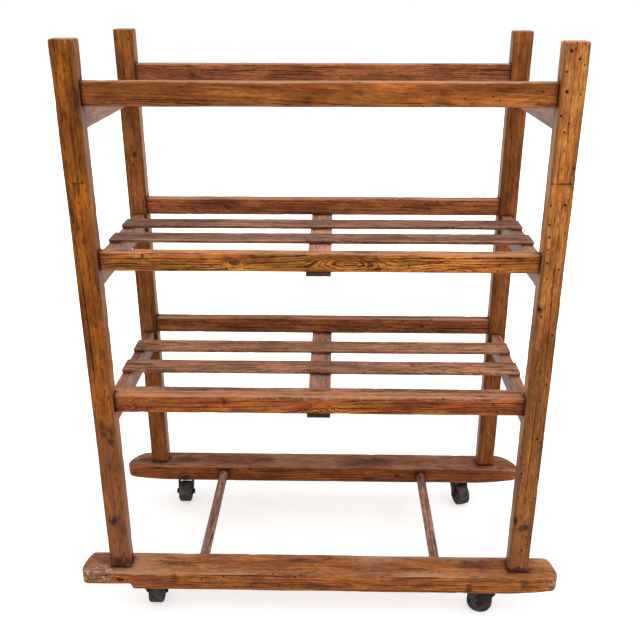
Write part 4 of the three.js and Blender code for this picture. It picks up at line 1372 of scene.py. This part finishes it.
def bore_crown(fork, pivot, top):
    """Cuts the kingpin's hole through the fork's crown."""
    outline = np.array(pivot[:2]) + PIN_BORE * circle(PIN_STEPS)[1]
    through = [(top - 2 * SHEET, 0), (top + SHEET, 0)]
    drill = new_object("drill", *prism_rings(outline, through), {}, smooth=False)
    cut = fork.modifiers.new("kingpin hole", "BOOLEAN")
    cut.object = drill
    cut.solver = "EXACT"
    fork.data = bpy.data.meshes.new_from_object(fork.evaluated_get(bpy.context.evaluated_depsgraph_get()))
    fork.modifiers.clear()
    bpy.data.objects.remove(drill)


def caster_meshes(corner):
    """Points and faces of each piece of a caster, about its own swivel axis."""
    part = {piece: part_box(f"caster_{corner}_{piece}") for piece in CASTER_BODY}
    axle_z = (part["axle"][0].z + part["axle"][1].z) / 2
    meshes = {
        "plate": plate_mesh(part["plate"][0].z, part["plate"][1].z),
        "race": race_mesh(part["race"][0].z, part["race"][1].z),
        "kingpin": kingpin_mesh(part["kingpin"][0].z, part["kingpin"][1].z),
        "fork": fork_mesh(axle_z, part["fork"][1].z),
        "axle": axle_mesh(),
        "hub": hub_mesh(),
        "tyre": tyre_mesh(axle_z),
    }
    for piece in ("axle", "hub", "tyre"):
        meshes[piece] = (meshes[piece][0] + np.array([TRAIL, 0, axle_z]), meshes[piece][1])
    return meshes


def add_caster(corner):
    joints = {joint["name"]: joint for joint in frame["joints"]}
    axle = joints[f"{corner}_wheel_spin"]["axis"]
    pivot = joints[f"{corner}_swivel_turn"]["pos_m"]
    for piece, (points, faces) in caster_meshes(corner).items():
        cos, sin = (1, 0) if piece in ("plate", "race", "kingpin") else (axle[1], -axle[0])
        turned_points = np.stack([
            points[..., 0] * cos - points[..., 1] * sin + pivot[0],
            points[..., 0] * sin + points[..., 1] * cos + pivot[1],
            points[..., 2],
        ], -1)
        name = f"caster_{corner}_{piece}"
        made = new_object(name + "_worn", turned_points, faces, {})
        slot = CASTER_SLOT.get(piece, "caster_steel")
        if piece == "fork":
            bore_crown(made, pivot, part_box(name)[1].z)
        made.data.materials.append(MATERIALS[slot])
        body = CASTER_BODY[piece]
        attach(made, body if body == "frame" else f"{corner}_{body}")
        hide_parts(name)


for corner in CORNERS:
    add_caster(corner)


# Nails through the slats and screws through the caster plates, scattered by one Geometry Nodes tree.
NAIL_SPREAD = 17 * MM  # each side of a slat's middle
NAIL_MARGIN = 12 * MM  # from a slat's end
NAIL_STAGGER = 3 * MM
SCREW_X, SCREW_Y = 26 * MM, 20 * MM
NAIL_STEPS, SCREW_STEPS = 20, 40
NAIL_SEED, SCREW_SEED = 4, 9
SLOT_HALF, SLOT_FLOOR = 0.75 * MM, -1.3 * MM
DRIVEN_SOCKETS = (("Head", "NodeSocketObject"), ("Tilt", VALUE), ("Least", VALUE), ("Most", VALUE),
                  ("Seed", "NodeSocketInt"), ("Finish", "NodeSocketMaterial"))


def driven_tree():
    """Puts a head on every point, each turned, tipped and sized a little differently."""
    tree = bpy.data.node_groups.new("Driven heads", "GeometryNodeTree")
    tree.interface.new_socket("Geometry", in_out="INPUT", socket_type="NodeSocketGeometry")
    for title, kind in DRIVEN_SOCKETS:
        tree.interface.new_socket(title, in_out="INPUT", socket_type=kind)
    tree.interface.new_socket("Geometry", in_out="OUTPUT", socket_type="NodeSocketGeometry")
    into = tree.nodes.new("NodeGroupInput").outputs
    head = node(tree, "GeometryNodeObjectInfo", {"Object": into["Head"]})
    back = times(tree, into["Tilt"], -1.0)
    low = node(tree, "ShaderNodeCombineXYZ", {"X": back, "Y": back})
    high = node(tree, "ShaderNodeCombineXYZ", {"X": into["Tilt"], "Y": into["Tilt"], "Z": 2 * math.pi})
    turns = {0: low.outputs[0], 1: high.outputs[0], "Seed": into["Seed"]}
    turn = node(tree, "FunctionNodeRandomValue", turns, data_type="FLOAT_VECTOR")
    sizes = {2: into["Least"], 3: into["Most"], "Seed": into["Seed"]}
    size = node(tree, "FunctionNodeRandomValue", sizes, data_type="FLOAT")
    placed = node(tree, "GeometryNodeInstanceOnPoints", {
        "Points": into["Geometry"], "Instance": head.outputs["Geometry"],
        "Rotation": turn.outputs[0], "Scale": size.outputs[1]})
    real = node(tree, "GeometryNodeRealizeInstances", {"Geometry": placed.outputs["Instances"]})
    finish = {"Geometry": real.outputs[0], "Material": into["Finish"]}
    finished = node(tree, "GeometryNodeSetMaterial", finish)
    tree.links.new(finished.outputs[0], tree.nodes.new("NodeGroupOutput").inputs["Geometry"])
    return tree


def nail_head():
    """A round nail head, hammered a little hollow."""
    return turned([(0.15 * MM, -2 * MM, 0), (2.2 * MM, -2 * MM, 0.4 * MM), (2.6 * MM, 0.25 * MM, 0.4 * MM),
                   (1.4 * MM, 0.45 * MM, 0.6 * MM), (0.15 * MM, 0.2 * MM, 0)], NAIL_STEPS)


def screw_head():
    """A round-headed screw under a plate: domed downwards, with a slot across it."""
    outline = [(0.1 * MM, -3.2 * MM, 0), (3.4 * MM, -2.6 * MM, 1.6 * MM), (5 * MM, 0, 0.3 * MM),
               (2.5 * MM, 0.05 * MM, 0), (2.5 * MM, 2.5 * MM, 0.2 * MM), (0.1 * MM, 2.5 * MM, 0)]
    points, faces = turned(outline, SCREW_STEPS)
    in_slot = (np.abs(points[..., 1]) < SLOT_HALF) & (points[..., 2] < -1 * MM)
    points[..., 2] = np.where(in_slot, SLOT_FLOOR, points[..., 2])
    return points, faces


def add_driven(name, tree, places, head, settings):
    """One mesh of heads at the places."""
    holder = new_object(name, places, [], {})
    pattern = new_object(name + "_pattern", *head, {})
    modifier = holder.modifiers.new("heads", "NODES")
    modifier.node_group = tree
    values = {"Head": pattern, **settings}
    for item in tree.interface.items_tree:
        if item.in_out == "INPUT" and item.name in values:
            modifier[item.identifier] = values[item.name]
    scene_graph = bpy.context.evaluated_depsgraph_get()
    mesh = bpy.data.meshes.new_from_object(holder.evaluated_get(scene_graph))
    holder.modifiers.clear()
    holder.data = mesh
    bpy.data.objects.remove(pattern)
    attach(holder, "frame")


def nail_places():
    for level, place in itertools.product(SHELVES, SLATS):
        low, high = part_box(f"{level}_slat_{place}")
        stops = [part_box(f"{level}_end_rail_{side}") for side in SIDES] + [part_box(f"{level}_bearer")]
        for stop, sign in itertools.product(stops, (-1, 1)):
            x = min(max((stop[0].x + stop[1].x) / 2, low.x + NAIL_MARGIN), high.x - NAIL_MARGIN)
            yield (x + sign * NAIL_STAGGER, (low.y + high.y) / 2 + sign * NAIL_SPREAD, high.z)


def screw_places():
    for corner in CORNERS:
        low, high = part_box(f"caster_{corner}_plate")
        for x, y in itertools.product((-SCREW_X, SCREW_X), (-SCREW_Y, SCREW_Y)):
            yield ((low.x + high.x) / 2 + x, (low.y + high.y) / 2 + y, low.z)


heads = driven_tree()
add_driven("deck_nails", heads, list(nail_places()), nail_head(),
           {"Tilt": 0.08, "Least": 0.85, "Most": 1.15, "Seed": NAIL_SEED, "Finish": MATERIALS["nail"]})
add_driven("caster_screws", heads, list(screw_places()), screw_head(),
           {"Tilt": 0.0, "Least": 0.97, "Most": 1.03, "Seed": SCREW_SEED,
            "Finish": MATERIALS["caster_steel"]})


# Floor, light and camera
SHADOW_NEAR = 0.9  # the shadow is kept this far from the middle
SHADOW_FAR = 2.4  # and the floor is plain white beyond this
NEAR_GLOW = 0.55
FLOOR_REACH = 14.0
FLOOR_DROP = 0.2 * MM  # keeps the floor clear of the tyres
FLOOR_BOUNCE = (0.3, 0.29, 0.28, 1.0)  # the floor as the rack sees it
FLOOR_SEEN = (0.8, 0.8, 0.8, 1.0)
WHITE = (1.0, 1.0, 1.0, 1.0)
ROOM_COLOR = (1.0, 0.98, 0.96, 1.0)
ROOM_LOW, ROOM_HIGH = 0.68, 0.92  # light from the floor line and from overhead
LAMP_PLACE, LAMP_TARGET = (1.9, -1.4, 3.9), (0, 0, 0.7)
LAMP_SIZE, LAMP_POWER = 3.5, 48  # metres and watts


def shown_rays(tree):
    """1 for rays that show the background: the camera's, and those that reflections or glass send on."""
    rays = node(tree, "ShaderNodeLightPath").outputs
    sent_on = larger(tree, rays["Is Glossy Ray"], rays["Is Transmission Ray"])
    return larger(tree, rays["Is Camera Ray"], sent_on)


def floor_material():
    """A floor that shows the camera white apart from the shadow, and throws little light back on the rack."""
    material, tree, surface = new_material("pale floor")
    seen = shown_rays(tree)
    place = node(tree, "ShaderNodeTexCoord").outputs["Object"]
    far = ramp(tree, length(tree, place), SHADOW_NEAR, SHADOW_FAR, NEAR_GLOW, 1.0)
    matt = node(tree, "ShaderNodeBsdfDiffuse", {"Color": mix(tree, seen, FLOOR_BOUNCE, FLOOR_SEEN)})
    glow = node(tree, "ShaderNodeEmission", {"Color": WHITE, "Strength": times(tree, seen, far)})
    both = node(tree, "ShaderNodeAddShader", {0: matt.outputs[0], 1: glow.outputs[0]})
    tree.links.new(both.outputs[0], surface)
    return material


def add_floor():
    corners = [(x * FLOOR_REACH, y * FLOOR_REACH, 0) for x, y in ((-1, -1), (1, -1), (1, 1), (-1, 1))]
    floor = new_object("floor", corners, [(0, 1, 2, 3)], {}, smooth=False)
    floor.location.z = -FLOOR_DROP
    floor.data.materials.append(floor_material())


def add_world():
    world = bpy.data.worlds.new("studio")
    bpy.context.scene.world = world
    world.use_nodes = True
    tree = world.node_tree
    tree.nodes.clear()
    height = height_of(tree, node(tree, "ShaderNodeTexCoord").outputs["Generated"])
    level = ramp(tree, height, -0.2, 0.9, ROOM_LOW, ROOM_HIGH)
    room = node(tree, "ShaderNodeBackground", {"Color": ROOM_COLOR, "Strength": level})
    white = node(tree, "ShaderNodeBackground", {"Color": WHITE, "Strength": 1.0})
    both = node(tree, "ShaderNodeMixShader", {0: shown_rays(tree), 1: room.outputs[0], 2: white.outputs[0]})
    output = tree.nodes.new("ShaderNodeOutputWorld")
    tree.links.new(both.outputs[0], output.inputs["Surface"])


def add_lamp():
    lamp = bpy.data.lights.new("overhead", "AREA")
    lamp.shape = "DISK"
    lamp.size = LAMP_SIZE
    lamp.energy = LAMP_POWER
    made = bpy.data.objects.new("overhead", lamp)
    bpy.context.scene.collection.objects.link(made)
    made.location = LAMP_PLACE
    away = made.location.copy()
    away.xyz = [place - target for place, target in zip(LAMP_PLACE, LAMP_TARGET)]
    made.rotation_euler = away.to_track_quat("Z", "Y").to_euler()


def add_camera():
    data = bpy.data.cameras.new("photo camera")
    data.lens = CAMERA_LENS
    data.sensor_width = SENSOR
    camera = bpy.data.objects.new("photo camera", data)
    bpy.context.scene.collection.objects.link(camera)
    camera.location = CAMERA_PLACE
    camera.rotation_euler = (math.radians(90 - CAMERA_PITCH), 0.0, math.radians(CAMERA_YAW))
    bpy.context.scene.camera = camera


add_floor()
add_world()
add_lamp()
add_camera()
bpy.context.scene.view_settings.view_transform = "Standard"
